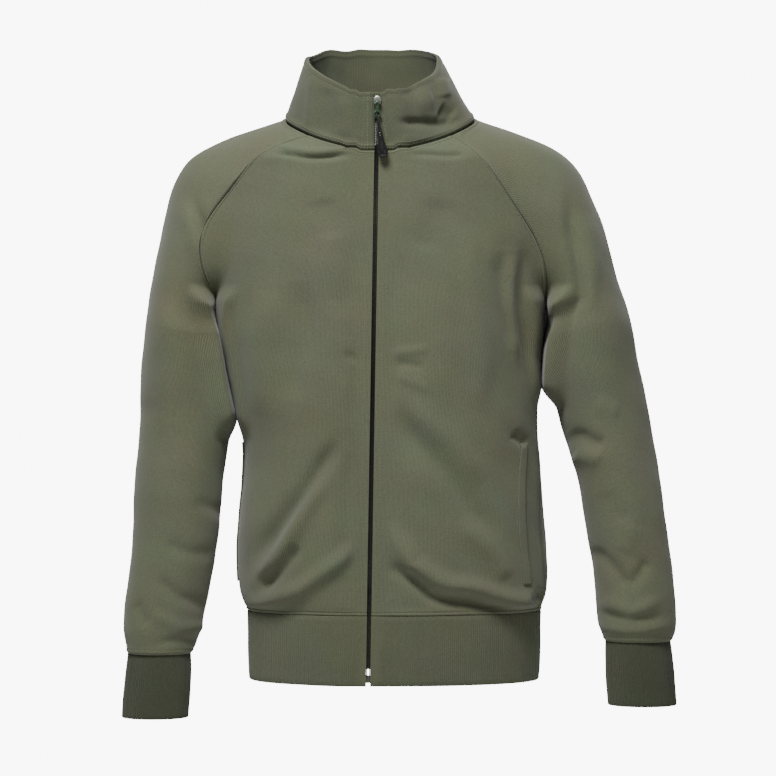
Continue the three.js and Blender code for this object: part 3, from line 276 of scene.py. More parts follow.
SIDE_SHARE = 7 / 17
BODY_ROWS = 272
SIDE_ROWS = int(BODY_ROWS * SIDE_SHARE)
RAGLAN_ROWS = BODY_ROWS - SIDE_ROWS
seams = {}
for side in SIGN:
    t = np.linspace(0, 1, RAGLAN_ROWS + 1)
    front, back = raglan(side, FRONT_ANGLE, t), raglan(side, BACK_ANGLE, t)
    back[-1] = front[-1]
    z = np.linspace(WAIST_SEAM, front[-1, 2], SIDE_ROWS + 1)
    flank = torso_point(SIGN[side] * math.pi / 2 + twist_at(z), z)
    flank[-1] = front[-1]
    seams[side] = {"front": front, "back": back, "side": flank}

# Listed folds: where they run (x, z), height (below 0 is a valley) and half width, seen from the front.
FRONT_FOLDS = [
    ([(-93, -195), (-90, -266), (-96, -336)], -3.2, 19),
    ([(-131, -207), (-138, -277), (-145, -359)], 3.0, 15),
    ([(-48, -215), (-45, -285), (-47, -360)], 2.2, 17),
    ([(141, -160), (148, -219), (155, -278)], -3.4, 9),
    ([(152, -166), (156, -225), (166, -289)], 3.2, 7),
    ([(164, -160), (169, -231), (176, -301)], -3.4, 8),
    ([(100, -130), (112, -205), (120, -290), (118, -350)], 2.4, 14),
    ([(18, -292), (53, -297)], -1.6, 6),
    ([(-46, -286), (-21, -291)], -1.6, 6),
    ([(14, -279), (59, -276)], 1.3, 6),
    ([(16, -310), (62, -322)], 1.2, 7),
    ([(-46, -382), (-70, -415), (-93, -453), (-125, -492), (-152, -529)], -6.0, 11),
    ([(-64, -418), (-97, -482), (-120, -520), (-143, -549)], 6.5, 11),
    ([(-93, -505), (-118, -535), (-140, -560)], -5.0, 8),
    ([(-25, -505), (-46, -523), (-93, -558), (-152, -578)], 6.0, 10),
    ([(12, -353), (59, -400), (106, -453), (141, -500)], -5.0, 13),
    ([(30, -340), (80, -385), (125, -430)], 2.5, 14),
    ([(6, -476), (35, -529), (82, -552), (164, -573), (187, -567)], 7.0, 10),
    ([(6, -523), (59, -560), (120, -580), (152, -582)], -5.5, 7),
    ([(170, -573), (193, -564)], -4.0, 6),
    ([(158, -373), (174, -388)], -3.5, 6),
    ([(100, -470), (135, -520), (150, -545)], 3.0, 13),
    ([(-128, -44), (-82, -48), (-30, -50)], -3.0, 3.5),
    ([(-124, -36), (-82, -40), (-40, -42)], 2.0, 4),
    ([(24, -51), (82, -47), (104, -44)], -2.2, 4),
    ([(-70, -100), (-60, -150)], -1.6, 16),
    ([(70, -100), (55, -160)], -1.6, 18),
    ([(-30, -380), (-34, -470), (-40, -540)], -1.8, 12),
]
BACK_FOLDS = [
    ([(-160, -150), (-140, -260), (-100, -380)], -4, 16),
    ([(150, -150), (130, -270), (100, -400)], -4, 16),
    ([(-60, -300), (-20, -420), (30, -560)], 4, 20),
    ([(70, -470), (0, -520), (-90, -560)], -5, 12),
    ([(120, -500), (40, -555), (-60, -575)], 5, 11),
    ([(-150, -480), (-90, -530), (-20, -560)], 4, 12),
    ([(-110, -90), (0, -120), (110, -90)], -2, 18),
    ([(20, -200), (10, -330)], 2, 24),
]
SLEEVE_FOLDS = [
    ([(-223, -92), (-200, -156), (-188, -210), (-184, -250)], -6.5, 8),
    ([(-238, -100), (-216, -168), (-202, -225)], 4.0, 11),
    ([(-222, -455), (-196, -470), (-184, -480)], -2.6, 8),
    ([(-250, -500), (-222, -514), (-196, -520)], -3.0, 8),
    ([(-262, -545), (-238, -570), (-204, -584)], -3.6, 8),
    ([(-268, -585), (-240, -606), (-200, -608)], 3.2, 7),
    ([(-290, -575), (-272, -600)], -3.0, 7),
    ([(-262, -620), (-205, -622)], -2.6, 5),
    ([(-272, -330), (-262, -420)], -2.0, 16),
    ([(227, -94), (233, -150), (232, -218), (216, -240), (203, -270)], -7.0, 8),
    ([(246, -110), (254, -170), (246, -238)], 3.4, 11),
    ([(226, -374), (248, -388), (262, -392)], -5.5, 8),
    ([(232, -400), (262, -408)], 4.2, 9),
    ([(252, -340), (284, -352)], 2.4, 12),
    ([(251, -512), (290, -560)], -5.5, 8),
    ([(290, -560), (308, -539), (320, -524)], -4.4, 8),
    ([(262, -572), (297, -586), (330, -572)], 4.6, 8),
    ([(300, -480), (286, -520)], 2.6, 12),
    ([(258, -588), (334, -594)], -3.2, 5),
    ([(262, -604), (338, -606)], 3.4, 5),
    ([(270, -440), (290, -480)], -2.0, 13),
]


def line_distance(q, line):
    """Distance in the plane from each point of q to a broken line, and the share of the way along it."""
    line = np.array(line, float)
    best, share = np.full(q.shape[:-1], 1e9), np.zeros(q.shape[:-1])
    count = len(line) - 1
    for k in range(count):
        along = line[k + 1] - line[k]
        t = np.clip(((q - line[k]) @ along) / (along @ along), 0, 1)
        d = np.linalg.norm(q - line[k] - t[..., None] * along, axis=-1)
        closer = d < best
        best, share = np.where(closer, d, best), np.where(closer, (k + t) / count, share)
    return best, share


FOLD_SIZE = 1.4


def fold_height(p, folds):
    q = p[..., [0, 2]]
    wobble = 3.0 * np.sin(p[..., 2] / 23 + p[..., 0] / 31) + 2.0 * np.sin(p[..., 0] / 13 - p[..., 2] / 37)
    q = q + wobble[..., None] * np.array([0.8, 0.6])
    height = np.zeros(p.shape[:-1])
    for line, high, wide in folds:
        d, share = line_distance(q, line)
        ends = smooth(share / 0.3 + 0.25) * smooth((1 - share) / 0.3 + 0.25)
        height += FOLD_SIZE * high * ends * np.exp(-((d / wide) ** 2))
    return height


def swell(p, size=1.0):
    """Slow unevenness of hanging cloth."""
    x, y, z = p[..., 0], p[..., 1], p[..., 2]
    a = np.sin(x / 41 + 1.3 * np.sin(z / 67) + y / 59) * np.sin(z / 53 + y / 71 + 0.7)
    b = np.sin(x / 19 - z / 43 + 2.1 * np.sin(y / 47)) * np.sin(z / 29 + x / 83)
    c = np.sin(x / 11 + z / 17 + y / 13) * np.sin(z / 12 - x / 23 + 1.9)
    return size * (1.5 * a + 0.8 * b + 0.3 * c)


def lean(p, n, sleeve):
    """The upper sleeve rests against the side of the body: both give way until they meet."""
    x, z = p[..., 0], p[..., 2]
    sign = np.where(x < 0, -1, 1)
    low = np.where(x < 0, -352, -314)
    share = smooth((z - low + 34) / 34) * smooth((-198 - z) / 22)
    facing = smooth((-sign if sleeve else sign) * n[..., 0] / 0.45)
    if sleeve:
        gap = torso_field(p) * 1.5
    else:
        gap = np.where(x < 0, arm_field("left", p), arm_field("right", p))
    return share * facing * smooth((42 - gap) / 14) * np.clip(gap, 0, 30) * (0.78 if sleeve else 0.25)


def drape(p, n, sleeve=False):
    """Cloth pushed in and out along its normal; still at the zip edge and near the ribbed bands."""
    z = p[..., 2]
    facing = smooth(-n[..., 1] / 0.35 + 0.15)
    if sleeve:
        height = 0.62 * fold_height(p, SLEEVE_FOLDS) * smooth(-n[..., 1] / 0.35 + 0.45)
        end = np.where(p[..., 0] < 0, -SLEEVE_DROP["left"], -SLEEVE_DROP["right"])
        calm = smooth((z - end - 1) / 9)
    else:
        height = fold_height(p, FRONT_FOLDS) * facing + fold_height(p, BACK_FOLDS) * smooth(n[..., 1] / 0.4)
        calm = smooth((z - WAIST_SEAM - 1) / 12)
        beside = smooth((np.abs(p[..., 0] - zip_x(z)) - 10) / 22)
        calm = calm * np.where(p[..., 1] < -60, beside, 1)
    height = height + swell(p, 1.0) + lean(p, n, sleeve)
    ring = np.hypot(p[..., 0] / NECK_W, (p[..., 1] - NECK_Y) / NECK_D)
    calm = calm * np.where(z > -60, smooth((ring - 1.01) / 0.12) * 0.85 + 0.15 * (z < -44), 1)
    return height * calm


def row_ends(grid):
    return unit(grid[0] - grid[1])[None], unit(grid[-1] - grid[-2])[None]


def make_object(name, vertices, faces, weave=None):
    mesh = bpy.data.meshes.new(name)
    mesh.from_pydata((vertices / 1000).tolist(), [], faces.tolist() if hasattr(faces, "tolist") else faces)
    if weave is not None:
        layer = mesh.attributes.new("weave", "FLOAT_VECTOR", "POINT")
        layer.data.foreach_set("vector", np.ascontiguousarray(weave, dtype=np.float32).ravel())
    mesh.polygons.foreach_set("use_smooth", np.ones(len(mesh.polygons), bool))
    mesh.update()
    obj = bpy.data.objects.new(name, mesh)
    bpy.context.scene.collection.objects.link(obj)
    return obj


def quad_band(first, second):
    """Quads between two rows of vertex numbers."""
    return np.stack([first[:-1], first[1:], second[1:], second[:-1]], axis=-1)


def signed_volume(vertices, faces):
    a, b, c, d = (vertices[faces[:, k]] for k in range(4))
    return np.einsum("ij,ij->i", a, np.cross(b, c)).sum() + np.einsum("ij,ij->i", a, np.cross(c, d)).sum()


def cloth(name, grid, inner, wrapped, material):
    """A solid sheet from its outer and inner grids of points, with rounded edges."""
    rows, columns = grid.shape[:2]
    middle = (grid + inner) / 2
    half = np.linalg.norm(grid - inner, axis=-1, keepdims=True) / 2
    across = np.cumsum(np.r_[0, np.linalg.norm(np.diff(grid, axis=1), axis=-1).mean(0)])
    along = np.cumsum(np.r_[0, np.linalg.norm(np.diff(grid, axis=0), axis=-1).mean(1)])
    low, high = row_ends(grid)
    rim0 = middle[:1] + (grid[:1] - middle[:1]) * 0.55 + low * half[:1] * 0.7
    rim1 = middle[-1:] + (grid[-1:] - middle[-1:]) * 0.55 + high * half[-1:] * 0.7
    rim2 = middle[-1:] + (inner[-1:] - middle[-1:]) * 0.55 + high * half[-1:] * 0.7
    rim3 = middle[:1] + (inner[:1] - middle[:1]) * 0.55 + low * half[:1] * 0.7
    loops = np.concatenate([grid, rim1, rim2, inner[::-1], rim3, rim0])
    v = np.r_[along, along[-1], along[-1], along[::-1], 0, 0]
    weave = np.zeros(loops.shape)
    weave[..., 0] = across[None]
    weave[..., 1] = v[:, None]
    vertices = loops.reshape(-1, 3)
    index = np.arange(len(loops) * columns).reshape(len(loops), columns)
    closed = np.concatenate([index, index[:1]])
    if wrapped:
        closed = np.concatenate([closed, closed[:, :1]], axis=1)
    faces = np.concatenate([quad_band(closed[k], closed[k + 1]) for k in range(len(loops))])
    if not wrapped:
        faces = np.concatenate([faces, side_caps(index, rows)])
    if signed_volume(vertices, faces) < 0:
        faces = faces[:, ::-1]
    obj = make_object(name, vertices, faces, weave.reshape(-1, 3) / 1000)
    obj.data.materials.append(material)
    return obj


def side_caps(index, rows):
    """Closes the two open sides of a sheet whose loops run out, over the end and back."""
    caps = []
    for side, turned in ((0, False), (-1, True)):
        out = np.r_[index[-1, side], index[:rows, side], index[rows, side]]
        back = np.r_[index[-2, side], index[rows + 2:2 * rows + 2, side][::-1], index[rows + 1, side]]
        band = quad_band(out, back)
        caps.append(band[:, ::-1] if turned else band)
    return np.concatenate(caps)


def fabric_material(name, light, dark, wale, bump=0.25):
    """Matt knit: mottled colour, fine vertical wales from the weave attribute and a brushed nap."""
    m = bpy.data.materials.new(name)
    m.use_nodes = True
    nodes, links = m.node_tree.nodes, m.node_tree.links
    shader = nodes["Principled BSDF"]
    shader.inputs["Roughness"].default_value = 0.92
    shader.inputs["Sheen Weight"].default_value = 0.22
    shader.inputs["Sheen Roughness"].default_value = 0.55
    shader.inputs["Specular IOR Level"].default_value = 0.15
    weave = nodes.new("ShaderNodeAttribute")
    weave.attribute_name = "weave"
    coords = nodes.new("ShaderNodeTexCoord")
    mottle = nodes.new("ShaderNodeTexNoise")
    mottle.inputs["Scale"].default_value = 520
    mottle.inputs["Detail"].default_value = 5
    patchy = nodes.new("ShaderNodeTexNoise")
    patchy.inputs["Scale"].default_value = 14
    patchy.inputs["Detail"].default_value = 3
    for node in (mottle, patchy):
        links.new(coords.outputs["Object"], node.inputs["Vector"])
    wales = nodes.new("ShaderNodeTexWave")
    wales.wave_type = "BANDS"
    wales.bands_direction = "X"
    wales.inputs["Scale"].default_value = math.pi / 10 / (wale / 1000)
    wales.inputs["Distortion"].default_value = 1.2
    wales.inputs["Detail"].default_value = 2
    wales.inputs["Detail Scale"].default_value = 2.0
    links.new(weave.outputs["Vector"], wales.inputs["Vector"])
    tone = nodes.new("ShaderNodeMix")
    tone.data_type = "FLOAT"
    tone.inputs[0].default_value = 0.42
    links.new(mottle.outputs["Fac"], tone.inputs[2])
    links.new(wales.outputs["Fac"], tone.inputs[3])
    ramp = nodes.new("ShaderNodeValToRGB")
    ramp.color_ramp.elements[0].position = 0.25
    ramp.color_ramp.elements[1].position = 0.75
    ramp.color_ramp.elements[0].color = (*dark, 1)
    ramp.color_ramp.elements[1].color = (*light, 1)
    links.new(tone.outputs[0], ramp.inputs[0])
    shade = nodes.new("ShaderNodeMix")
    shade.data_type = "RGBA"
    shade.blend_type = "MULTIPLY"
    shade.inputs[0].default_value = 0.22
    links.new(ramp.outputs[0], shade.inputs[6])
    links.new(patchy.outputs["Color"], shade.inputs[7])
    links.new(shade.outputs[2], shader.inputs["Base Color"])
    nap = nodes.new("ShaderNodeBump")
    nap.inputs["Strength"].default_value = bump
    nap.inputs["Distance"].default_value = 0.0006
    links.new(tone.outputs[0], nap.inputs["Height"])
    links.new(nap.outputs["Normal"], shader.inputs["Normal"])
    return m


fleece = fabric_material("fleece", (0.180, 0.194, 0.122), (0.108, 0.118, 0.072), 1.5)
collar_fleece = fabric_material("collar_fleece", (0.132, 0.142, 0.090), (0.079, 0.086, 0.053), 1.5)
fleece_inside = fabric_material("fleece_inside", (0.140, 0.152, 0.095), (0.10, 0.110, 0.066), 2.2, 0.4)


def coons(bottom, right, top, left):
    u = np.linspace(0, 1, len(bottom))[None, :, None]
    v = np.linspace(0, 1, len(left))[:, None, None]
    across = (1 - v) * bottom[None] + v * top[None] + (1 - u) * left[:, None] + u * right[:, None]
    corners = (1 - u) * (1 - v) * bottom[0] + u * (1 - v) * bottom[-1] + (1 - u) * v * top[0] + u * v * top[-1]
    return across - corners


def relaxed(grid, rounds=160):
    """Evens out the spacing inside the four seam lines."""
    for _ in range(rounds):
        near = grid[:-2, 1:-1] + grid[2:, 1:-1] + grid[1:-1, :-2] + grid[1:-1, 2:]
        grid[1:-1, 1:-1] = mix(grid[1:-1, 1:-1], near / 4, 0.9)
    return grid


def laid(grid, field):
    """Inner points laid on the form and evened out; the seam lines stay."""
    for rounds in (160, 120, 60):
        grid = relaxed(grid, rounds)
        grid[1:-1, 1:-1] = to_surface(field, grid[1:-1, 1:-1], 6)
    return grid


def pull_in(grid, wrapped):
    moved = grid.copy()
    moved[0] += unit(grid[1] - grid[0]) * SEAM_GAP / 2
    moved[-1] += unit(grid[-2] - grid[-1]) * SEAM_GAP / 2
    if not wrapped:
        moved[:, 0] += unit(grid[:, 1] - grid[:, 0]) * SEAM_GAP / 2
        moved[:, -1] += unit(grid[:, -2] - grid[:, -1]) * SEAM_GAP / 2
    return moved


def denser(grid, wrapped=False):
    """Extra rows and columns beside the edges, so that the seams are drawn finely."""
    def spots(count):
        fine = np.arange(0, 5, 1 / 3)
        return np.r_[fine, np.arange(5, count - 5.5), count - 1 - fine[::-1]]

    def between(values, at):
        low = np.minimum(at.astype(int), len(values) - 2)
        share = (at - low)[:, None, None]
        return values[low] * (1 - share) + values[low + 1] * share

    grid = between(grid, spots(len(grid)))
    if wrapped:
        return grid
    return between(grid.transpose(1, 0, 2), spots(grid.shape[1])).transpose(1, 0, 2)


STITCH_IN = 4.8  # how far the topstitching lies from a seam


def seam_dip(grid, edges, depth):
    """How far the cloth is drawn down by the seam and by the stitching beside it."""
    dip = np.zeros(grid.shape[:2])
    for edge in edges:
        axis = 0 if edge in ("bottom", "top") else 1
        d = np.r_[0, np.cumsum(np.linalg.norm(np.diff(grid, axis=axis), axis=-1).mean(1 - axis))]
        d = d[-1] - d if edge in ("top", "right") else d
        seam = np.exp(-((d / 1.3) ** 2))
        row_of_stitches = np.exp(-(((d - STITCH_IN) / 0.9) ** 2))
        ridge = np.exp(-(((d - 2.7) / 1.1) ** 2))
        fall = depth * (0.5 if edge == "top" else 1.0) * (seam + 0.42 * row_of_stitches - 0.3 * ridge)
        fall = fall[:, None] if axis == 0 else fall[None, :]
        dip = np.where(np.abs(fall) > np.abs(dip), fall, dip)
    return dip


def lip_angle(side, z):
    cx, cy, _, _ = read_section(TORSO, np.asarray(z, float))
    return np.arctan2(zip_x(z) + SIGN[side] * LIP - cx, cy - zip_y(z))


def draped_pair(grid, field, edges, thickness=FABRIC, sleeve=False, dip=1.7):
    n = outward(field, grid)
    height = drape(grid, n, sleeve) - seam_dip(grid, edges, dip)
    return grid + n * height[..., None], grid + n * (height - thickness)[..., None], n


sewn = []  # (draped grid, surface directions, edge, distances of its stitch rows)
FRONT_COLUMNS = 96
for side, sign in SIGN.items():
    seam = np.concatenate([seams[side]["side"], seams[side]["front"][::-1][1:]])
    z = np.linspace(WAIST_SEAM, NECK_FRONT, BODY_ROWS + 1)
    edge = points(zip_x(z) + sign * LIP, zip_y(z), z)
    end = sign * math.pi / 2 + twist_at(WAIST_SEAM)
    bottom = torso_point(np.linspace(lip_angle(side, WAIST_SEAM), end, FRONT_COLUMNS + 1), float(WAIST_SEAM))
    start = math.asin((zip_x(NECK_FRONT) * sign + LIP) / NECK_W)
    top = neck_point(sign * np.linspace(start, FRONT_ANGLE, FRONT_COLUMNS + 1))
    bottom[0], edge[-1], bottom[-1] = edge[0], top[0], seam[0]
    grid = denser(pull_in(laid(coons(bottom, seam, top, edge), body_field[side]), False))
    outer, inner, n = draped_pair(grid, body_field[side], ("bottom", "top", "right"))
    sewn += [(outer, n, "left", (8.5,)), (outer, n, "top", (STITCH_IN,)), (outer, n, "bottom", (STITCH_IN,))]
    sewn.append((outer[SIDE_ROWS + 24:], n[SIDE_ROWS + 24:], "right", (STITCH_IN,)))
    panel = cloth(f"front_panel_{side}", outer, inner, False, fleece)
    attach(panel, "jacket")
    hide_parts(f"front_{side}")

# ---- Back panel ----
# One fleece panel between the two side seams and back raglan seams, up to the back of the neck,
# with the slack folds of cloth that hangs from the shoulder blades.
BACK_COLUMNS = 150
left_seam = np.concatenate([seams["left"]["side"], seams["left"]["back"][::-1][1:]])[::2]
right_seam = np.concatenate([seams["right"]["side"], seams["right"]["back"][::-1][1:]])[::2]
start = math.pi / 2 + twist_at(WAIST_SEAM)
bottom = torso_point(np.linspace(start, start + math.pi, BACK_COLUMNS + 1), float(WAIST_SEAM))
top = neck_point(np.linspace(BACK_ANGLE, 2 * math.pi - BACK_ANGLE, BACK_COLUMNS + 1))
bottom[0], bottom[-1], top[0], top[-1] = right_seam[0], left_seam[0], right_seam[-1], left_seam[-1]
grid = denser(pull_in(laid(coons(bottom, left_seam, top, right_seam), whole_field), False))
outer, inner, n = draped_pair(grid, whole_field, ("bottom", "top", "left", "right"))
start = len(grid) * 7 // 17 + 12
sewn += [(outer[start:], n[start:], edge, (STITCH_IN,)) for edge in ("left", "right")]
sewn.append((outer, n, "bottom", (STITCH_IN,)))
back = cloth("back_panel_cloth", outer, inner, False, fleece)
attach(back, "jacket")
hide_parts("back_panel")

# ---- Sleeves ----
# Raglan sleeves: each starts on its two raglan seams and the side of the neck and tapers down to the
# cuff, creased at the armpit and elbow and slack above the cuff.
SHOULDER_ROWS, ARM_ROWS = 110, 140


def sleeve_grid(side):
    sign, field = SIGN[side], sleeve_field[side]
    t = np.linspace(0, 1, 61)
    front, rear = raglan(side, FRONT_ANGLE, t), raglan(side, BACK_ANGLE, t)
    rear[-1] = front[-1]
    arc = neck_point(sign * np.linspace(BACK_ANGLE, FRONT_ANGLE, 41))
    loop = np.concatenate([arc, front[1:], rear[::-1][1:-1]])
    distance = np.hypot(np.abs(loop[:, 0]) - HINGE_X, loop[:, 2] - HINGE_Z)
    turn0 = np.arctan2(loop[:, 2] - HINGE_Z, np.abs(loop[:, 0]) - HINGE_X)
    around0 = np.arctan2(loop[:, 1] - CENTRE_Y, distance - REACH)
    share = (np.interp(np.arange(len(loop)), [0, 40, 100, 159], [0, 4, 14, 23.83]) + 1.5) / 24
    goal = mix(math.pi / 2, -3 * math.pi / 2, share) - 0.55
    table, _ = ARMS[side]
    arm_cx, arm_cy, _, _ = read_section(table, np.array(float(HINGE_Z)))
    rows = [loop]
    for t in np.linspace(0, 1, SHOULDER_ROWS + 1)[1:]:
        centre = mix(REACH, arm_cx - HINGE_X, smooth(t))
        gap = goal - around0
        gap -= 2 * math.pi * np.round(gap / (2 * math.pi))
        around = around0 + gap * smooth(t)
        turn = turn0 * (1 - t)
        y = mix(CENTRE_Y, arm_cy, t)
        origin = polar(side, centre, turn, y)
        tip = polar(side, centre + np.cos(around), turn, y + np.sin(around))
        rows.append(cast(field, origin, unit(tip - origin), 220, 4.0))
    for z in np.linspace(HINGE_Z, -SLEEVE_DROP[side], ARM_ROWS + 1)[1:]:
        cx, cy, _, _ = read_section(table, np.array(float(z)))
        away = points(sign * np.cos(goal), np.sin(goal), 0)
        rows.append(cast(lambda p: arm_field(side, p), points(sign * cx, cy, z), away, 120, 4.0))
    return pull_in(np.stack(rows), True)


def eased_top(grid, rounds=90):
    """Softens the shoulder between the seam loop and the upper arm."""
    share = smooth((SHOULDER_ROWS * 0.9 - np.arange(len(grid))) / (SHOULDER_ROWS * 0.4))[1:-1, None, None]
    for _ in range(rounds):
        near = (grid[:-2] + grid[2:] + np.roll(grid, 1, axis=1)[1:-1] + np.roll(grid, -1, axis=1)[1:-1]) / 4
        grid[1:-1] = mix(grid[1:-1], near, 0.9 * share)
    return grid


for side in SIGN:
    grid = denser(eased_top(sleeve_grid(side)), True)
    outer, inner, n = draped_pair(grid, sleeve_field[side], ("bottom", "top"), sleeve=True)
    sewn += [(outer[:, part], n[:, part], "bottom", (STITCH_IN,)) for part in (slice(95), slice(105, None))]
    sewn.append((outer, n, "top", (STITCH_IN,)))
    sleeve = cloth(f"raglan_sleeve_{side}", outer, inner, True, fleece)
    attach(sleeve, "jacket")
    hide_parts(f"sleeve_{side}")

# ---- Stand collar ----
# A folded stand collar of fleece: the outer ply carries the slumped dent and ripples of a soft
# collar, the inner ply follows it and shows at the open top.
RIM_W, RIM_D, RIM_X = 82, 75, -8
RIM_Y = float(zip_y(COLLAR_TOP)) + RIM_D
COLLAR_COLUMNS, COLLAR_ROWS = 260, 40
INNER_BESIDE = PLACKET + 1
COLLAR_FOLDS = [
    ([(24, -8), (62, -10), (101, -8)], -6.5, 6),
    ([(44, 14), (62, 20)], 5.0, 14),
    ([(70, 6), (92, 0)], -5.5, 9),
    ([(30, 24), (50, 40)], -2.5, 8),
    ([(70, 45), (74, 20)], 3.5, 8),
    ([(-84, 48), (-86, -20)], 2.2, 6),
    ([(-43, 22), (-45, -30)], 2.4, 7),
    ([(-63, 32), (-66, -24)], -2.4, 8),
    ([(-20, 10), (-26, -30)], -1.4, 8),
    ([(24, -30), (60, -34)], 2.2, 7),
]


def collar_field(p):
    return np.hypot((p[..., 0] - RIM_X / 2) / NECK_W, (p[..., 1] - RIM_Y) / NECK_D)


def collar_point(angle, t):
    base = neck_point(angle)
    front = smooth((1 + np.cos(angle)) / 2)
    back_share = smooth((1 - np.cos(angle)) / 2)
    height = 72 + (68 - 72) * front + (74 - 72) * back_share
    rim = points(RIM_X + RIM_W * np.sin(angle), RIM_Y - RIM_D * np.cos(angle), base[..., 2] + height)
    p = mix(base, rim, t)
    beside = smooth((np.abs(p[..., 0] - zip_x(p[..., 2])) - PLACKET) / 25)
    p[..., 1] = np.where(np.cos(angle) > 0, mix(zip_y(p[..., 2]), p[..., 1], beside), p[..., 1])
    p[..., 2] += 0.9 * (1 - t)
    return p


def collar_angle(side, beside):
    return math.asin((zip_x(NECK_FRONT) + SIGN[side] * beside) / NECK_W)


def collar_grid(beside):
    """Rows from the neck seam to the rim; the first and last columns stand beside the chain."""
    start, end = collar_angle("right", beside), 2 * math.pi + collar_angle("left", beside)
    rows = []
    for t in np.linspace(0, 1, COLLAR_ROWS + 1):
        row = collar_point(np.linspace(start, end, COLLAR_COLUMNS + 1), t)
        row[0, 0], row[-1, 0] = zip_x(row[0, 2]) + beside, zip_x(row[-1, 2]) - beside
        rows.append(row)
    return np.stack(rows)


def collar_height(p, n, t):
    facing = smooth(-n[..., 1] / 0.3 + 0.5)
    height = fold_height(p, COLLAR_FOLDS) * 0.7 * facing + swell(p * 1.5, 0.8)
    beside = smooth((np.abs(p[..., 0] - zip_x(p[..., 2])) - 9) / 18)
    height = height * np.where(p[..., 1] < -20, beside, 1) * smooth(t / 0.16)
    rim_roll = 0.9 * np.exp(-(((1 - t) * 70 - 6.0) / 1.2) ** 2)
    seam_roll = 1.5 * np.exp(-((t * 70 - 4.5) / 3.0) ** 2) - 0.8 * np.exp(-((t * 70 / 1.6) ** 2))
    return height - rim_roll + seam_roll


def rim_slump(p, t):
    """The top edge sinks unevenly, most on the right."""
    right = np.exp(-(((p[..., 0] - 52) / 26) ** 2)) * smooth(-p[..., 1] / 30)
    wave = 1.6 * np.sin(p[..., 0] / 9 + p[..., 1] / 17) * smooth((np.abs(p[..., 0] - zip_x(p[..., 2])) - 12) / 20)
    return (-5.0 * right + wave) * smooth((t - 0.35) / 0.65)


t = np.linspace(0, 1, COLLAR_ROWS + 1)[:, None]
for name, node, beside, depth, material in (
    ("collar_outer_ply", "collar_outer", LIP, 0.0, collar_fleece),
    ("collar_inner_ply", "collar_inner", INNER_BESIDE, FABRIC + LAYER_GAP, fleece_inside),
):
    grid = collar_grid(beside)
    grid[..., 2] += rim_slump(grid, t)
    n = outward(collar_field, grid)
    height = collar_height(grid, n, t)
    outer = grid + n * (height - depth)[..., None]
    if depth == 0:
        rows_in = {"bottom": (2.2, 5.8), "top": (6.0,), "left": (8.5,), "right": (8.5,)}
        sewn += [(outer, n, edge, distances) for edge, distances in rows_in.items()]
    ply = cloth(name, outer, outer - n * FABRIC, False, material)
    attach(ply, "jacket")
    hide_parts(node)

# ---- Ribbed waistband ----
# A deep band of vertical rib knit round the hem, pulled in a little under the bloused body.
rib_knit = fabric_material("rib_knit", (0.160, 0.175, 0.108), (0.092, 0.102, 0.061), 1.3, 0.3)
# The cuff knit is the waistband's rib knit painted at about half its brightness: painted shade for the low-hanging
# cuffs.
cuff_knit_painted_shade = fabric_material("cuff_knit_painted_shade", (0.086, 0.094, 0.058), (0.049, 0.055, 0.033), 1.3, 0.3)


def rib_pair(grid, field):
    """Rib ridges run up the band; four points to a ridge."""
    n = outward(field, grid)
    columns = grid.shape[1]
    ridge = 0.42 * np.cos(np.arange(columns) * math.pi / 2)[None]
    rows = np.linspace(0, 1, len(grid))[:, None]
    belly = 1.2 * np.sin(math.pi * rows)
    height = ridge + belly + 0.5 * swell(grid * 1.4)
    return grid + n * height[..., None], grid + n * (height - RIB)[..., None]


rib_count = 1472
rows = []
for z in np.linspace(WAIST_SEAM - SEAM_GAP / 2, HEM, 15):
    start = lip_angle("right", z)
    end = 2 * math.pi + lip_angle("left", z)
    row = torso_point(np.linspace(start, end, rib_count + 1), float(z))
    row[0], row[-1] = [zip_x(z) + LIP, zip_y(z), z], [zip_x(z) - LIP, zip_y(z), z]
    rows.append(row)
grid = np.stack(rows)
beside_zip = smooth((np.abs(grid[..., 0] - zip_x(grid[..., 2])) - 6) / 10)
still = np.where(grid[..., 1] < -60, beside_zip, 1)[..., None]
outer, inner = rib_pair(grid, torso_field)
shift = outer - grid
outer = grid + shift * still
band = cloth("rib_waistband", outer, outer + (inner - grid - shift), False, rib_knit)
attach(band, "jacket")
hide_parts("waistband")

# ---- Ribbed cuffs ----
# Rib-knit tubes under the slack sleeve ends, a little wider at the hand, in a darker copy of the rib knit whose colour
# is painted shade.
for side, sign in SIGN.items():
    drop = SLEEVE_DROP[side]
    cx, cy, a, b = read_section(ARMS[side][0], np.array(float(-drop)))
    turn = np.linspace(0, 2 * math.pi, 96 * 4 + 1)[:-1] - math.pi / 2
    rows = []
    for t in np.linspace(0, 1, 16):
        x = sign * (cx + 5 * t) + (a - 2 + 2 * t) * np.cos(turn)
        y = cy - 4 * t + (b - 3.5 + 2 * t) * np.sin(turn)
        rows.append(points(x, y, -drop - SEAM_GAP / 2 - 75 * t))
    grid = np.stack(rows)
    centre = np.array([sign * (cx + 2.5), cy - 2, 0])
    outer, inner = rib_pair(grid, lambda p: np.hypot(p[..., 0] - centre[0], p[..., 1] - centre[1]))
    cuff = cloth(f"rib_cuff_{side}", outer, inner, True, cuff_knit_painted_shade)
    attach(cuff, "jacket")
    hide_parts(f"cuff_{side}")

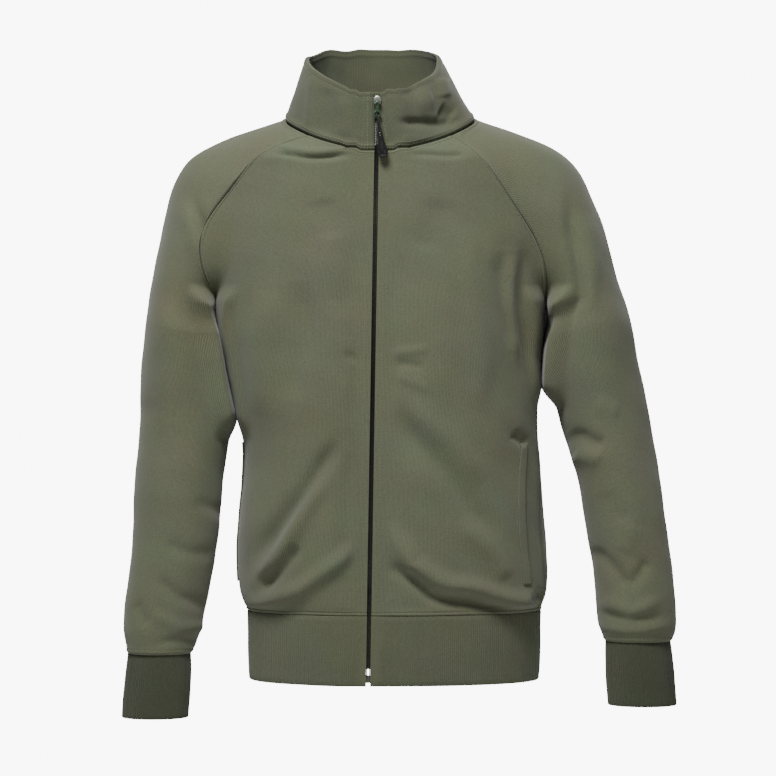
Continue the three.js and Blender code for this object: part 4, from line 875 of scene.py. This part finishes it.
# ---- Zip tapes and facings ----
# Woven tapes behind the slit that carry the chain, and the fleece facings folded back beside them.
ZIP_TOP = np.array([zip_x(COLLAR_TOP), zip_y(COLLAR_TOP), COLLAR_TOP])
ZIP_END = np.array([zip_x(HEM), zip_y(HEM), HEM])
ZIP_LENGTH = float(np.linalg.norm(ZIP_END - ZIP_TOP))
ZIP_DOWN = (ZIP_END - ZIP_TOP) / ZIP_LENGTH
ZIP_SIDE = unit(np.array([-ZIP_DOWN[2], 0, ZIP_DOWN[0]]))
ZIP_OUT = -np.cross(ZIP_SIDE, ZIP_DOWN) * np.sign(np.cross(ZIP_SIDE, ZIP_DOWN)[1])
STACK = 3.4
CHAIN_MIDDLE = 6.2
BOX_TOP = ZIP_LENGTH - 3 - 9


def zip_point(side, down, out):
    side, down, out = np.broadcast_arrays(side, down, out)
    return ZIP_TOP + side[..., None] * ZIP_SIDE + down[..., None] * ZIP_DOWN + out[..., None] * ZIP_OUT


def as_array(faces):
    return np.array([list(f) for f in faces])


def block_parts(low, high, bevel):
    """Corners and faces of a block with cut edges, in zip coordinates."""
    low, high = np.array(low, float), np.array(high, float)
    middle, half = (low + high) / 2, (high - low) / 2
    bevel = min(bevel, half.min() * 0.9)
    corners, names = [], {}
    for sx in (-1, 1):
        for sy in (-1, 1):
            for sz in (-1, 1):
                sign = np.array([sx, sy, sz])
                for axis in range(3):
                    inset = np.full(3, bevel)
                    inset[axis] = 0
                    names[sx, sy, sz, axis] = len(corners)
                    corners.append(middle + sign * (half - inset))
    faces = []
    for axis in range(3):
        u, v = [k for k in range(3) if k != axis]
        for s in (-1, 1):
            ring = []
            for a, b in ((-1, -1), (1, -1), (1, 1), (-1, 1)):
                key = [0, 0, 0]
                key[axis], key[u], key[v] = s, a, b
                ring.append(names[(*key, axis)])
            faces.append(ring)
        for a in (-1, 1):
            for b in (-1, 1):
                ends = []
                for s in (-1, 1):
                    key = [0, 0, 0]
                    key[axis], key[u], key[v] = s, a, b
                    ends.append((names[(*key, u)], names[(*key, v)]))
                faces.append([ends[0][0], ends[0][1], ends[1][1], ends[1][0]])
    for sx in (-1, 1):
        for sy in (-1, 1):
            for sz in (-1, 1):
                faces.append([names[sx, sy, sz, 0], names[sx, sy, sz, 1], names[sx, sy, sz, 2]])
    return np.array(corners), faces


def outward_faces(vertices, faces, middle):
    turned = []
    for face in faces:
        a, b, c = vertices[face[0]], vertices[face[1]], vertices[face[2]]
        away = np.mean([vertices[k] for k in face], axis=0) - middle
        turned.append(face if np.dot(np.cross(b - a, c - b), away) > 0 else face[::-1])
    return turned


def zip_blocks(name, blocks, material, bevel=0.25, smooth_shade=False):
    """One mesh from a list of (low, high) blocks in zip coordinates."""
    vertices, faces = [], []
    template = {}
    for low, high in blocks:
        corners, block_faces = block_parts(low, high, bevel)
        world = zip_point(corners[:, 0], corners[:, 1], corners[:, 2])
        key = "faces"
        if key not in template:
            template[key] = outward_faces(world, block_faces, world.mean(axis=0))
        base = sum(len(v) for v in vertices)
        vertices.append(world)
        faces += [[k + base for k in f] for f in template[key]]
    obj = make_object(name, np.concatenate(vertices), faces)
    obj.data.polygons.foreach_set("use_smooth", np.full(len(obj.data.polygons), smooth_shade))
    obj.data.materials.append(material)
    return obj


def plain_material(name, colour, roughness, metallic=0.0, grain=0.04, scale=600, coat=0.0, tint=0.12):
    """Smooth finish with slight wear: the roughness and colour vary a little."""
    m = bpy.data.materials.new(name)
    m.use_nodes = True
    nodes, links = m.node_tree.nodes, m.node_tree.links
    shader = nodes["Principled BSDF"]
    shader.inputs["Metallic"].default_value = metallic
    shader.inputs["Coat Weight"].default_value = coat
    coords = nodes.new("ShaderNodeTexCoord")
    noise = nodes.new("ShaderNodeTexNoise")
    noise.inputs["Scale"].default_value = scale
    noise.inputs["Detail"].default_value = 4
    links.new(coords.outputs["Object"], noise.inputs["Vector"])
    ramp = nodes.new("ShaderNodeValToRGB")
    ramp.color_ramp.elements[0].color = (*[c * (1 - tint) for c in colour], 1)
    ramp.color_ramp.elements[1].color = (*[min(1, c * (1 + tint)) for c in colour], 1)
    links.new(noise.outputs["Fac"], ramp.inputs[0])
    links.new(ramp.outputs[0], shader.inputs["Base Color"])
    rough = nodes.new("ShaderNodeMapRange")
    rough.inputs[3].default_value = max(0.02, roughness - 0.08)
    rough.inputs[4].default_value = roughness + 0.08
    links.new(noise.outputs["Fac"], rough.inputs[0])
    links.new(rough.outputs[0], shader.inputs["Roughness"])
    bump = nodes.new("ShaderNodeBump")
    bump.inputs["Strength"].default_value = grain
    bump.inputs["Distance"].default_value = 0.0002
    links.new(noise.outputs["Fac"], bump.inputs["Height"])
    links.new(bump.outputs["Normal"], shader.inputs["Normal"])
    return m


woven_tape = plain_material("woven_tape", (0.055, 0.058, 0.040), 0.85, grain=0.5, scale=1500)
for side, sign in SIGN.items():
    inner, outer = sign * 3.3, sign * 17.0
    tape = zip_blocks(f"zip_tape_{side}_woven", [((min(inner, outer), 0.6, -CHAIN_MIDDLE - 0.4),
                      (max(inner, outer), BOX_TOP + 9, -CHAIN_MIDDLE + 0.4))], woven_tape, 0.2)
    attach(tape, "jacket")
    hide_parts(f"zip_tape_{side}")
    inner = sign * 6.0
    facing = zip_blocks(f"zip_facing_{side}_cloth", [((min(inner, outer), 0.6, -CHAIN_MIDDLE + 0.75),
                        (max(inner, outer), BOX_TOP + 9, -STACK))], fleece_inside, 0.6)
    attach(facing, "jacket")
    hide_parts(f"zip_facing_{side}")

# ---- Chain of teeth ----
# Fine black moulded teeth on each tape edge, those of one side standing in the gaps of the other.
black_plastic = plain_material("black_plastic", (0.012, 0.012, 0.012), 0.42, grain=0.1)
CHAIN_TOP, CHAIN_END = 3.7, BOX_TOP - 8.3
PITCH = 3.0
for side, sign in SIGN.items():
    blocks = []
    lead = 0 if side == "left" else PITCH / 2
    for down in np.arange(CHAIN_TOP + lead + 0.1, CHAIN_END - 1.4, PITCH):
        edges = sorted((sign * 2.9, sign * -1.15))
        blocks.append(((edges[0], down, -CHAIN_MIDDLE - 1.0), (edges[1], down + 1.2, -CHAIN_MIDDLE + 1.0)))
    for depth in (-1.15, 0.35):
        edges = sorted((sign * 1.7, sign * 3.0))
        blocks.append(((edges[0], CHAIN_TOP, -CHAIN_MIDDLE + depth), (edges[1], CHAIN_END, -CHAIN_MIDDLE + depth + 0.8)))
    chain = zip_blocks(f"zip_teeth_{side}", blocks, black_plastic, 0.28)
    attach(chain, "jacket")
    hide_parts(f"teeth_{side}")

# ---- Zip ends ----
# Metal stops at the top, and the box and pin that start the zip at the hem.
zip_metal = plain_material("zip_metal", (0.50, 0.51, 0.46), 0.34, 1.0, 0.15, 900)
for side, sign in SIGN.items():
    edges = sorted((sign * 0.8, sign * 3.0))
    stop = zip_blocks(f"zip_top_stop_{side}", [((edges[0], 0.6, -CHAIN_MIDDLE - 1.4), (edges[1], 3.2, -CHAIN_MIDDLE + 1.4))],
                      zip_metal, 0.45)
    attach(stop, "jacket")
    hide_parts(f"top_stop_{side}")
back, front = -CHAIN_MIDDLE - 2.2, -CHAIN_MIDDLE + 2.2
box_blocks = [
    ((-2.6, BOX_TOP, back), (0.4, BOX_TOP + 9, front)),
    ((0.4, BOX_TOP + 7, back), (2.8, BOX_TOP + 9, front)),
    ((0.2, BOX_TOP, -CHAIN_MIDDLE + 1.15), (2.9, BOX_TOP + 8, front)),
    ((0.2, BOX_TOP, back), (2.9, BOX_TOP + 8, -CHAIN_MIDDLE - 1.15)),
    ((-3.6, BOX_TOP, -CHAIN_MIDDLE + 0.8), (3.6, BOX_TOP + 9, front)),
    ((-3.6, BOX_TOP, back), (3.6, BOX_TOP + 9, -CHAIN_MIDDLE - 0.8)),
    ((-2.3, BOX_TOP - 8, -CHAIN_MIDDLE - 0.7), (-0.9, BOX_TOP + 1, -CHAIN_MIDDLE + 0.7)),
]
box = zip_blocks("zip_retaining_box", box_blocks, zip_metal, 0.3)
pin = zip_blocks("zip_insertion_pin", [((0.9, BOX_TOP - 8, -CHAIN_MIDDLE - 0.7), (2.3, BOX_TOP + 6.5, -CHAIN_MIDDLE + 0.7))],
                 zip_metal, 0.3)
for obj, node in ((box, "retaining_box"), (pin, "insertion_pin")):
    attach(obj, "jacket")
    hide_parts(node)

# ---- Slider ----
# A cast slider: plates before and behind the chain, a rounded crown in front of the cloth and a
# bridge between two lugs that the tab hangs on.
SLIDER_TOP, SLIDER_LENGTH = 3.7, 11
BRIDGE_DOWN, BRIDGE_OUT = 12.5, 5.1


def lathe(name, profile, segments, place, material):
    """A turned solid. profile lists (radius, distance along the axis); place maps (a, b, along) to the frame."""
    rings, faces = [], []
    turn = np.linspace(0, 2 * math.pi, segments + 1)[:-1]
    for radius, along in profile:
        rings.append(np.stack([radius * np.cos(turn), radius * np.sin(turn), np.full(segments, float(along))], axis=-1))
    local = np.concatenate(rings)
    vertices = place(local[:, 0], local[:, 1], local[:, 2])
    index = np.arange(len(local)).reshape(len(profile), segments)
    index = np.concatenate([index, index[:, :1]], axis=1)
    for k in range(len(profile) - 1):
        faces += quad_band(index[k], index[k + 1]).tolist()
    if profile[0] == profile[-1]:
        closed = as_array(faces)
        faces = faces if signed_volume(vertices, closed) > 0 else [f[::-1] for f in faces]
    else:
        faces += [list(index[0, :-1])[::-1], list(index[-1, :-1])]
        body = as_array(faces[:-2])
        if signed_volume(vertices, body) < 0:
            faces = [f[::-1] for f in faces]
    obj = make_object(name, vertices, faces)
    obj.data.materials.append(material)
    return obj


def joined_pieces(name, objects):
    bpy.ops.object.select_all(action="DESELECT")
    for obj in objects:
        obj.select_set(True)
    bpy.context.view_layer.objects.active = objects[0]
    bpy.ops.object.join()
    bpy.context.active_object.name = name
    return bpy.context.active_object


def stadium(name, half_width, length, layers, material):
    """A domed plate with round ends. layers lists (out, share of the full outline)."""
    a = np.linspace(0, 2 * math.pi, 49)[:-1]
    straight = length / 2 - half_width
    across = half_width * np.cos(a)
    along = half_width * np.sin(a) + straight * np.sign(np.sin(a))
    vertices, middle = [], SLIDER_TOP + length / 2
    for out, share in layers:
        vertices.append(zip_point(across * share, middle + along * share, np.full(48, float(out))))
    vertices = np.concatenate(vertices)
    index = np.arange(len(vertices)).reshape(len(layers), 48)
    closed = np.concatenate([index, index[:, :1]], axis=1)
    faces = []
    for k in range(len(layers) - 1):
        faces += quad_band(closed[k], closed[k + 1]).tolist()
    faces += [list(index[0])[::-1], list(index[-1])]
    if signed_volume(vertices, as_array(faces[:-2])) < 0:
        faces = [f[::-1] for f in faces]
    obj = make_object(name, vertices, faces)
    obj.data.materials.append(material)
    return obj


def rod_place(down, out):
    return lambda a, b, along: zip_point(along, down + a, out + b)


slider_parts = [
    zip_blocks("slider_front_plate", [((-4.8, 3.7, -4.6), (4.8, 14.7, -3.4)), ((-1.5, 6.2, -4.0), (1.5, 12.2, 1.6))],
               zip_metal, 0.35),
    stadium("slider_crown", 4.6, SLIDER_LENGTH,
            [(0.6, 0.92), (0.8, 0.99), (1.2, 1.0), (1.9, 1.0), (2.35, 0.94), (2.6, 0.8), (2.68, 0.4)], zip_metal),
    zip_blocks("slider_lugs", [((2.5, 10.3, 2.1), (4.0, 14.1, 6.7)), ((-4.0, 10.3, 2.1), (-2.5, 14.1, 6.7))],
               zip_metal, 0.5),
    lathe("slider_bridge", [(0.9, -3.4), (1.0, -3.2), (1.0, 3.2), (0.9, 3.4)], 24,
          rod_place(BRIDGE_DOWN, BRIDGE_OUT), zip_metal),
]
slider = joined_pieces("zip_slider", slider_parts)
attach(slider, "slider")
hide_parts("slider_body")
back_plate = zip_blocks("zip_slider_back", [((-4.8, 3.7, -9.0), (4.8, 14.7, -7.8))], zip_metal, 0.4)
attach(back_plate, "slider")
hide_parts("slider_back_plate")

# ---- Pull tab ----
# A green-painted metal tab that hangs from the bridge and ends in a flat ring for the cord.
EYE_DOWN = BRIDGE_DOWN + 18 - 4.6
tab_paint = plain_material("tab_paint", (0.045, 0.085, 0.045), 0.38, 0.4, 0.1, 500)


def ring_profile(inner, outer, half, round_off):
    return [(inner, -half + round_off), (inner + round_off, -half), (outer - round_off, -half), (outer, -half + round_off),
            (outer, half - round_off), (outer - round_off, half), (inner + round_off, half), (inner, half - round_off),
            (inner, -half + round_off)]


tab_parts = [
    lathe("tab_ring", ring_profile(2.3, 4.6, 0.8, 0.3), 40,
          lambda a, b, along: zip_point(a, EYE_DOWN + b, BRIDGE_OUT + along), tab_paint),
    lathe("tab_boss", ring_profile(1.3, 2.2, 2.2, 0.25), 28, rod_place(BRIDGE_DOWN, BRIDGE_OUT), tab_paint),
    zip_blocks("tab_stem", [((-2.2, BRIDGE_DOWN + 1.6, BRIDGE_OUT - 0.8), (2.2, EYE_DOWN - 3.2, BRIDGE_OUT + 0.8))],
               tab_paint, 0.3),
]
tab = joined_pieces("zip_pull_tab", tab_parts)
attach(tab, "tab")
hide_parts("pull_tab")

# ---- Puller cord ----
# A short loop of black cord round the lower rim of the tab's ring, both strands going down into the
# grip. It hangs a little to the right.
CORD_RADIUS, LEAN = 1.25, 0.18
RIM_DOWN = EYE_DOWN + 3.45
WRAP = math.hypot(1.15, 0.8) + CORD_RADIUS + LAYER_GAP
TIP_OUT = 7.0
CORD_END = EYE_DOWN + 22


def hang_point(side, down, out):
    """Zip coordinates, turned about the ring's lower rim so that the puller leans."""
    d = np.asarray(down, float) - RIM_DOWN
    side = np.asarray(side, float)
    across = side * math.cos(LEAN) + d * math.sin(LEAN)
    down = RIM_DOWN - side * math.sin(LEAN) + d * math.cos(LEAN)
    return zip_point(across, down, np.asarray(out, float))


black_cord = plain_material("black_cord", (0.016, 0.016, 0.017), 0.75, grain=0.8, scale=1400)
loop = [(-1.7, CORD_END - 0.35, TIP_OUT), (-1.7, CORD_END - 4, TIP_OUT), (-0.8, RIM_DOWN + 5, BRIDGE_OUT - WRAP + 0.6)]
for a in np.linspace(0, math.pi, 9):
    loop.append((0, RIM_DOWN - WRAP * math.sin(a), BRIDGE_OUT - WRAP * math.cos(a)))
loop += [(0.8, RIM_DOWN + 5, BRIDGE_OUT + WRAP), (1.7, CORD_END - 4, TIP_OUT), (1.7, CORD_END - 0.35, TIP_OUT)]
loop = np.array(loop)


def smooth_path(line, count):
    """Catmull-Rom through the points."""
    line = np.concatenate([2 * line[:1] - line[1:2], line, 2 * line[-1:] - line[-2:-1]])
    out = []
    for k in range(1, len(line) - 2):
        for t in np.linspace(0, 1, count + 1)[:-1]:
            a, b, c, d = line[k - 1:k + 3]
            out.append(0.5 * (2 * b + (c - a) * t + (2 * a - 5 * b + 4 * c - d) * t * t + (3 * b - a - 3 * c + d) * t ** 3))
    return np.array(out + [line[-2]])


path = smooth_path(loop, 8)
path = hang_point(path[:, 0], path[:, 1], path[:, 2]) / 1000
curve = bpy.data.curves.new("puller_cord_loop", "CURVE")
curve.dimensions = "3D"
curve.bevel_depth = CORD_RADIUS / 1000
curve.bevel_resolution = 5
curve.use_fill_caps = True
spline = curve.splines.new("POLY")
spline.points.add(len(path) - 1)
spline.points.foreach_set("co", np.c_[path, np.ones(len(path))].ravel())
cord = bpy.data.objects.new("puller_cord_loop", curve)
bpy.context.scene.collection.objects.link(cord)
cord.data.materials.append(black_cord)
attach(cord, "puller")
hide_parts("puller_cord")

# ---- Puller grip ----
# A glossy black moulded grip, slim where the cord enters and swelling to a rounded drop.
grip_rubber = plain_material("grip_rubber", (0.012, 0.012, 0.013), 0.22, grain=0.03, coat=0.6)
profile = [(0.4, 0), (2.6, 0.05), (3.1, 0.3), (3.45, 0.9), (3.5, 2), (3.45, 2.6), (3.15, 3.0), (3.5, 3.5), (3.55, 6), (3.8, 9),
           (4.3, 12.5), (5.0, 16), (5.6, 19.5), (5.95, 22.5), (6.0, 24.5), (5.75, 26.5), (5.0, 28.4), (3.6, 29.5), (1.8, 29.95), (0.3, 30)]
grip = lathe("puller_grip", profile, 40, lambda a, b, along: hang_point(a, CORD_END + along, TIP_OUT + b), grip_rubber)
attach(grip, "puller")
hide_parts("puller_tip")

# ---- Side pockets ----
# A welt on each flank over the pocket mouth, and behind it a pouch of two plies. The cloth follows
# the folds of the panel in front of it.
POCKET_LOW = WAIST_SEAM + 36
POCKET_HIGH = POCKET_LOW + 165


def side_strip(side, start, end, low, high, columns, rows):
    """A strip up the flank; start and end are distances from the welt's seam, towards the back."""
    sign = SIGN[side]
    z = np.linspace(low, high, rows + 1)
    base = torso_point(sign * 1.3 + twist_at(z), z)
    n = outward(torso_field, base)
    across = unit(np.cross(n, [0, 0, 1]) * -sign)
    shift = np.linspace(start, end, columns + 1)
    return to_surface(torso_field, base[:, None] + across[:, None] * shift[None, :, None])


def lying_cloth(name, grid, above, thickness, material, calm=1.0):
    """Cloth above (or below) the draped panel by a distance."""
    n = outward(torso_field, grid)
    height = drape(grid, n) * calm
    outer = grid + n * (height + above)[..., None]
    return cloth(name, outer, outer - n * thickness, False, material)


for side in SIGN:
    grid = side_strip(side, 0, 11, POCKET_LOW, POCKET_HIGH, 14, 150)
    welt = lying_cloth(f"welt_{side}", grid, 1.9, 1.85, fleece)
    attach(welt, "jacket")
    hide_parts(f"pocket_welt_{side}")
    front_grid = side_strip(side, -118, 6, WAIST_SEAM + 9, POCKET_HIGH + 7, 60, 70)
    back_grid = side_strip(side, -118, 21, WAIST_SEAM + 9, POCKET_HIGH + 7, 66, 70)
    front_ply = lying_cloth(f"bag_front_{side}", front_grid, -5.0, 1.2, fleece_inside)
    back_ply = lying_cloth(f"bag_back_{side}", back_grid, -10.5, 1.2, fleece_inside)
    bag = joined_pieces(f"pocket_pouch_{side}", [front_ply, back_ply])
    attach(bag, "jacket")
    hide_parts(f"pocket_bag_{side}")

# ---- Neck trims ----
# A woven tape over the back neck seam, a hanger loop and a blank care label.
tape_depth = 2 * FABRIC + 2 * LAYER_GAP
rows = []
for height in np.linspace(1.4, 13.4, 7):
    row = collar_point(np.linspace(2 * math.pi / 3 + 0.05, 4 * math.pi / 3 - 0.05, 91), height / 74)
    rows.append(row)
grid = np.stack(rows)
n = outward(collar_field, grid)
outer = grid - n * tape_depth
tape = cloth("neck_seam_tape", outer, outer - n * 1.2, False, woven_tape)
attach(tape, "jacket")
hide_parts("neck_tape")


def flat_strip(name, low, high, material, bevel):
    """A flat block in the frame's own directions."""
    corners, faces = block_parts(low, high, bevel)
    faces = outward_faces(corners, faces, corners.mean(axis=0))
    obj = make_object(name, corners, faces)
    obj.data.polygons.foreach_set("use_smooth", np.zeros(len(obj.data.polygons), bool))
    obj.data.materials.append(material)
    return obj


low, high = (np.array(c) * 1000 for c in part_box("hanger_loop"))
strips = [
    flat_strip("loop_top", (low[0], low[1], high[2] - 6), (high[0], high[1], high[2]), woven_tape, 0.7),
    flat_strip("loop_bottom", (low[0], low[1], low[2]), (high[0], high[1], low[2] + 6), woven_tape, 0.7),
    flat_strip("loop_end_a", (low[0], low[1], low[2] + 4), (low[0] + 6, high[1], high[2] - 4), woven_tape, 0.7),
    flat_strip("loop_end_b", (high[0] - 6, low[1], low[2] + 4), (high[0], high[1], high[2] - 4), woven_tape, 0.7),
]
loop_piece = joined_pieces("back_neck_loop", strips)
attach(loop_piece, "jacket")
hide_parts("hanger_loop")
satin = plain_material("satin", (0.72, 0.71, 0.66), 0.5, grain=0.2, scale=1200)
low, high = (np.array(c) * 1000 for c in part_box("care_label"))
label = flat_strip("blank_label", low, high, satin, 0.1)
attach(label, "jacket")
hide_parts("care_label")

# ---- Topstitching ----
# Twin rows of stitches beside the raglan and neck seams, single rows beside the zip, round the
# waistband and cuffs and down the pocket welts, each stitch a small rounded bar of thread.
thread = plain_material("thread", (0.185, 0.200, 0.128), 0.7, grain=0.3, scale=900)
STITCH, STITCH_GAP, THREAD = 2.9, 0.9, 0.34


def resampled(line, step):
    """Points at an even step along a line, with the direction there."""
    length = np.r_[0, np.cumsum(np.linalg.norm(np.diff(line, axis=0), axis=-1))]
    at = np.arange(step / 2, length[-1], step)
    spots = np.stack([np.interp(at, length, line[:, k]) for k in range(3)], axis=-1)
    ahead = np.stack([np.interp(at + 0.5, length, line[:, k]) for k in range(3)], axis=-1)
    behind = np.stack([np.interp(at - 0.5, length, line[:, k]) for k in range(3)], axis=-1)
    return spots, unit(ahead - behind)


def stitch_row(spots, along, n):
    """Six-sided bars, tapered at both ends, lying along the row."""
    across = unit(np.cross(along, n))
    vertices, faces = [], []
    ring = np.linspace(0, 2 * math.pi, 7)[:-1]
    for share, radius in ((-0.5, 0.35), (-0.36, 1.0), (0.36, 1.0), (0.5, 0.35)):
        middle = spots + along * STITCH * share
        for a in ring:
            vertices.append(middle + (across * math.cos(a) + n * math.sin(a) * 0.8) * THREAD * radius)
    vertices = np.stack(vertices, axis=1)
    count = vertices.shape[1]
    for k in range(3):
        for i in range(6):
            faces.append([k * 6 + i, k * 6 + (i + 1) % 6, (k + 1) * 6 + (i + 1) % 6, (k + 1) * 6 + i])
    faces = np.array(faces)
    caps = np.array([[5, 4, 1, 0], [4, 3, 2, 1], [18, 19, 22, 23], [19, 20, 21, 22]])
    faces = np.concatenate([faces, caps])
    if signed_volume(vertices[0], faces) < 0:
        faces = faces[:, ::-1]
    base = np.arange(len(spots))[:, None, None] * count
    return vertices.reshape(-1, 3), (faces[None] + base).reshape(-1, 4)


rows_of_thread = {"vertices": [], "faces": [], "count": 0}


def sew(line, n):
    """Adds a row of stitches along a line of points with its surface directions."""
    spots, along = resampled(line, STITCH + STITCH_GAP)
    length = np.r_[0, np.cumsum(np.linalg.norm(np.diff(line, axis=0), axis=-1))]
    at = np.arange((STITCH + STITCH_GAP) / 2, length[-1], STITCH + STITCH_GAP)
    facing = unit(np.stack([np.interp(at, length, n[:, k]) for k in range(3)], axis=-1))
    vertices, faces = stitch_row(spots, along, facing)
    rows_of_thread["faces"].append(faces + rows_of_thread["count"])
    rows_of_thread["vertices"].append(vertices)
    rows_of_thread["count"] += len(vertices)


def sew_grid(outer, n, edge, distances):
    """Rows of stitches at set distances in from one edge of a draped grid."""
    if edge in ("left", "right"):
        outer, n = outer.transpose(1, 0, 2), n.transpose(1, 0, 2)
    if edge in ("top", "right"):
        outer, n = outer[::-1], n[::-1]
    lengths = np.linalg.norm(np.diff(outer[:14], axis=0), axis=-1)
    depth = np.cumsum(np.concatenate([np.zeros((1, outer.shape[1])), lengths]), axis=0)
    for distance in distances:
        line, facing = [], []
        for i in range(outer.shape[1]):
            line.append([np.interp(distance, depth[:, i], outer[:14, i, k]) for k in range(3)])
            facing.append([np.interp(distance, depth[:, i], n[:14, i, k]) for k in range(3)])
        line, facing = np.array(line), unit(np.array(facing))
        sew(line + facing * THREAD * 0.35, facing)


for grid, n, edge, distances in sewn:
    sew_grid(grid, n, edge, distances)
for side, shifts in (("right", (-2.2, 13.2)), ("left", (-2.2,))):
    for shift in shifts:
        strip = side_strip(side, shift, shift + 1, POCKET_LOW, POCKET_HIGH, 1, 90)
        n = outward(torso_field, strip)
        line = strip + n * (drape(strip, n) + THREAD * 0.35)[..., None]
        sew(line[:, 0], n[:, 0])
# A stitched line in front of the left pocket, where its front seam shows.
z = np.linspace(POCKET_LOW - 10, POCKET_LOW + 128, 90)
line = torso_point(-1.02 + twist_at(z), z)
n = outward(torso_field, line)
sew(line + n * (drape(line, n) + THREAD * 0.35)[..., None], n)
stitches = make_object("topstitching", np.concatenate(rows_of_thread["vertices"]),
                       np.concatenate(rows_of_thread["faces"]))
stitches.data.materials.append(thread)
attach(stitches, "jacket")

# ---- Camera, light and floor ----
# The view the jacket is matched in: level, four metres in front, from the height of the chest.
camera_data = bpy.data.cameras.new("front camera")
camera_data.lens = 154.6
camera_data.sensor_width = 36
camera = bpy.data.objects.new("front camera", camera_data)
bpy.context.scene.collection.objects.link(camera)
camera.location = (0.0096, -4.0, -0.3216)
camera.rotation_euler = (math.pi / 2, 0, 0)
bpy.context.scene.camera = camera


def area_light(name, at, towards, size, power):
    data = bpy.data.lights.new(name, "AREA")
    data.shape = "RECTANGLE"
    data.size, data.size_y = size
    data.energy = power
    lamp = bpy.data.objects.new(name, data)
    bpy.context.scene.collection.objects.link(lamp)
    lamp.location = at
    lamp.rotation_euler = (Vector(towards) - Vector(at)).to_track_quat("-Z", "Y").to_euler()


area_light("key", (-0.38, -1.35, 1.72), (0, 0, -0.2), (1.0, 0.65), 70)
area_light("fill", (1.6, -1.6, 0.2), (0, 0, -0.3), (1.2, 1.2), 2)
area_light("behind", (0.3, 1.6, 1.2), (0, 0, -0.3), (1.6, 1.0), 14)

# The room is dim round the jacket and looks white where the camera sees it directly.
world = bpy.data.worlds.new("studio")
world.use_nodes = True
nodes, links = world.node_tree.nodes, world.node_tree.links
seen = nodes.new("ShaderNodeLightPath")
strength = nodes.new("ShaderNodeMapRange")
strength.inputs[3].default_value = 0.16
strength.inputs[4].default_value = 9.0
links.new(seen.outputs["Is Camera Ray"], strength.inputs[0])
links.new(strength.outputs[0], nodes["Background"].inputs["Strength"])
nodes["Background"].inputs["Color"].default_value = (1, 1, 1, 1)
bpy.context.scene.world = world

bpy.ops.object.select_all(action="DESELECT")
bpy.ops.mesh.primitive_plane_add(size=3.2, location=(0, 0, -1.0))
floor = bpy.context.active_object
floor.name = "floor"
pale = bpy.data.materials.new("pale floor")
pale.use_nodes = True
pale.node_tree.nodes["Principled BSDF"].inputs["Base Color"].default_value = (0.85, 0.85, 0.85, 1)
pale.node_tree.nodes["Principled BSDF"].inputs["Roughness"].default_value = 0.9
floor.data.materials.append(pale)
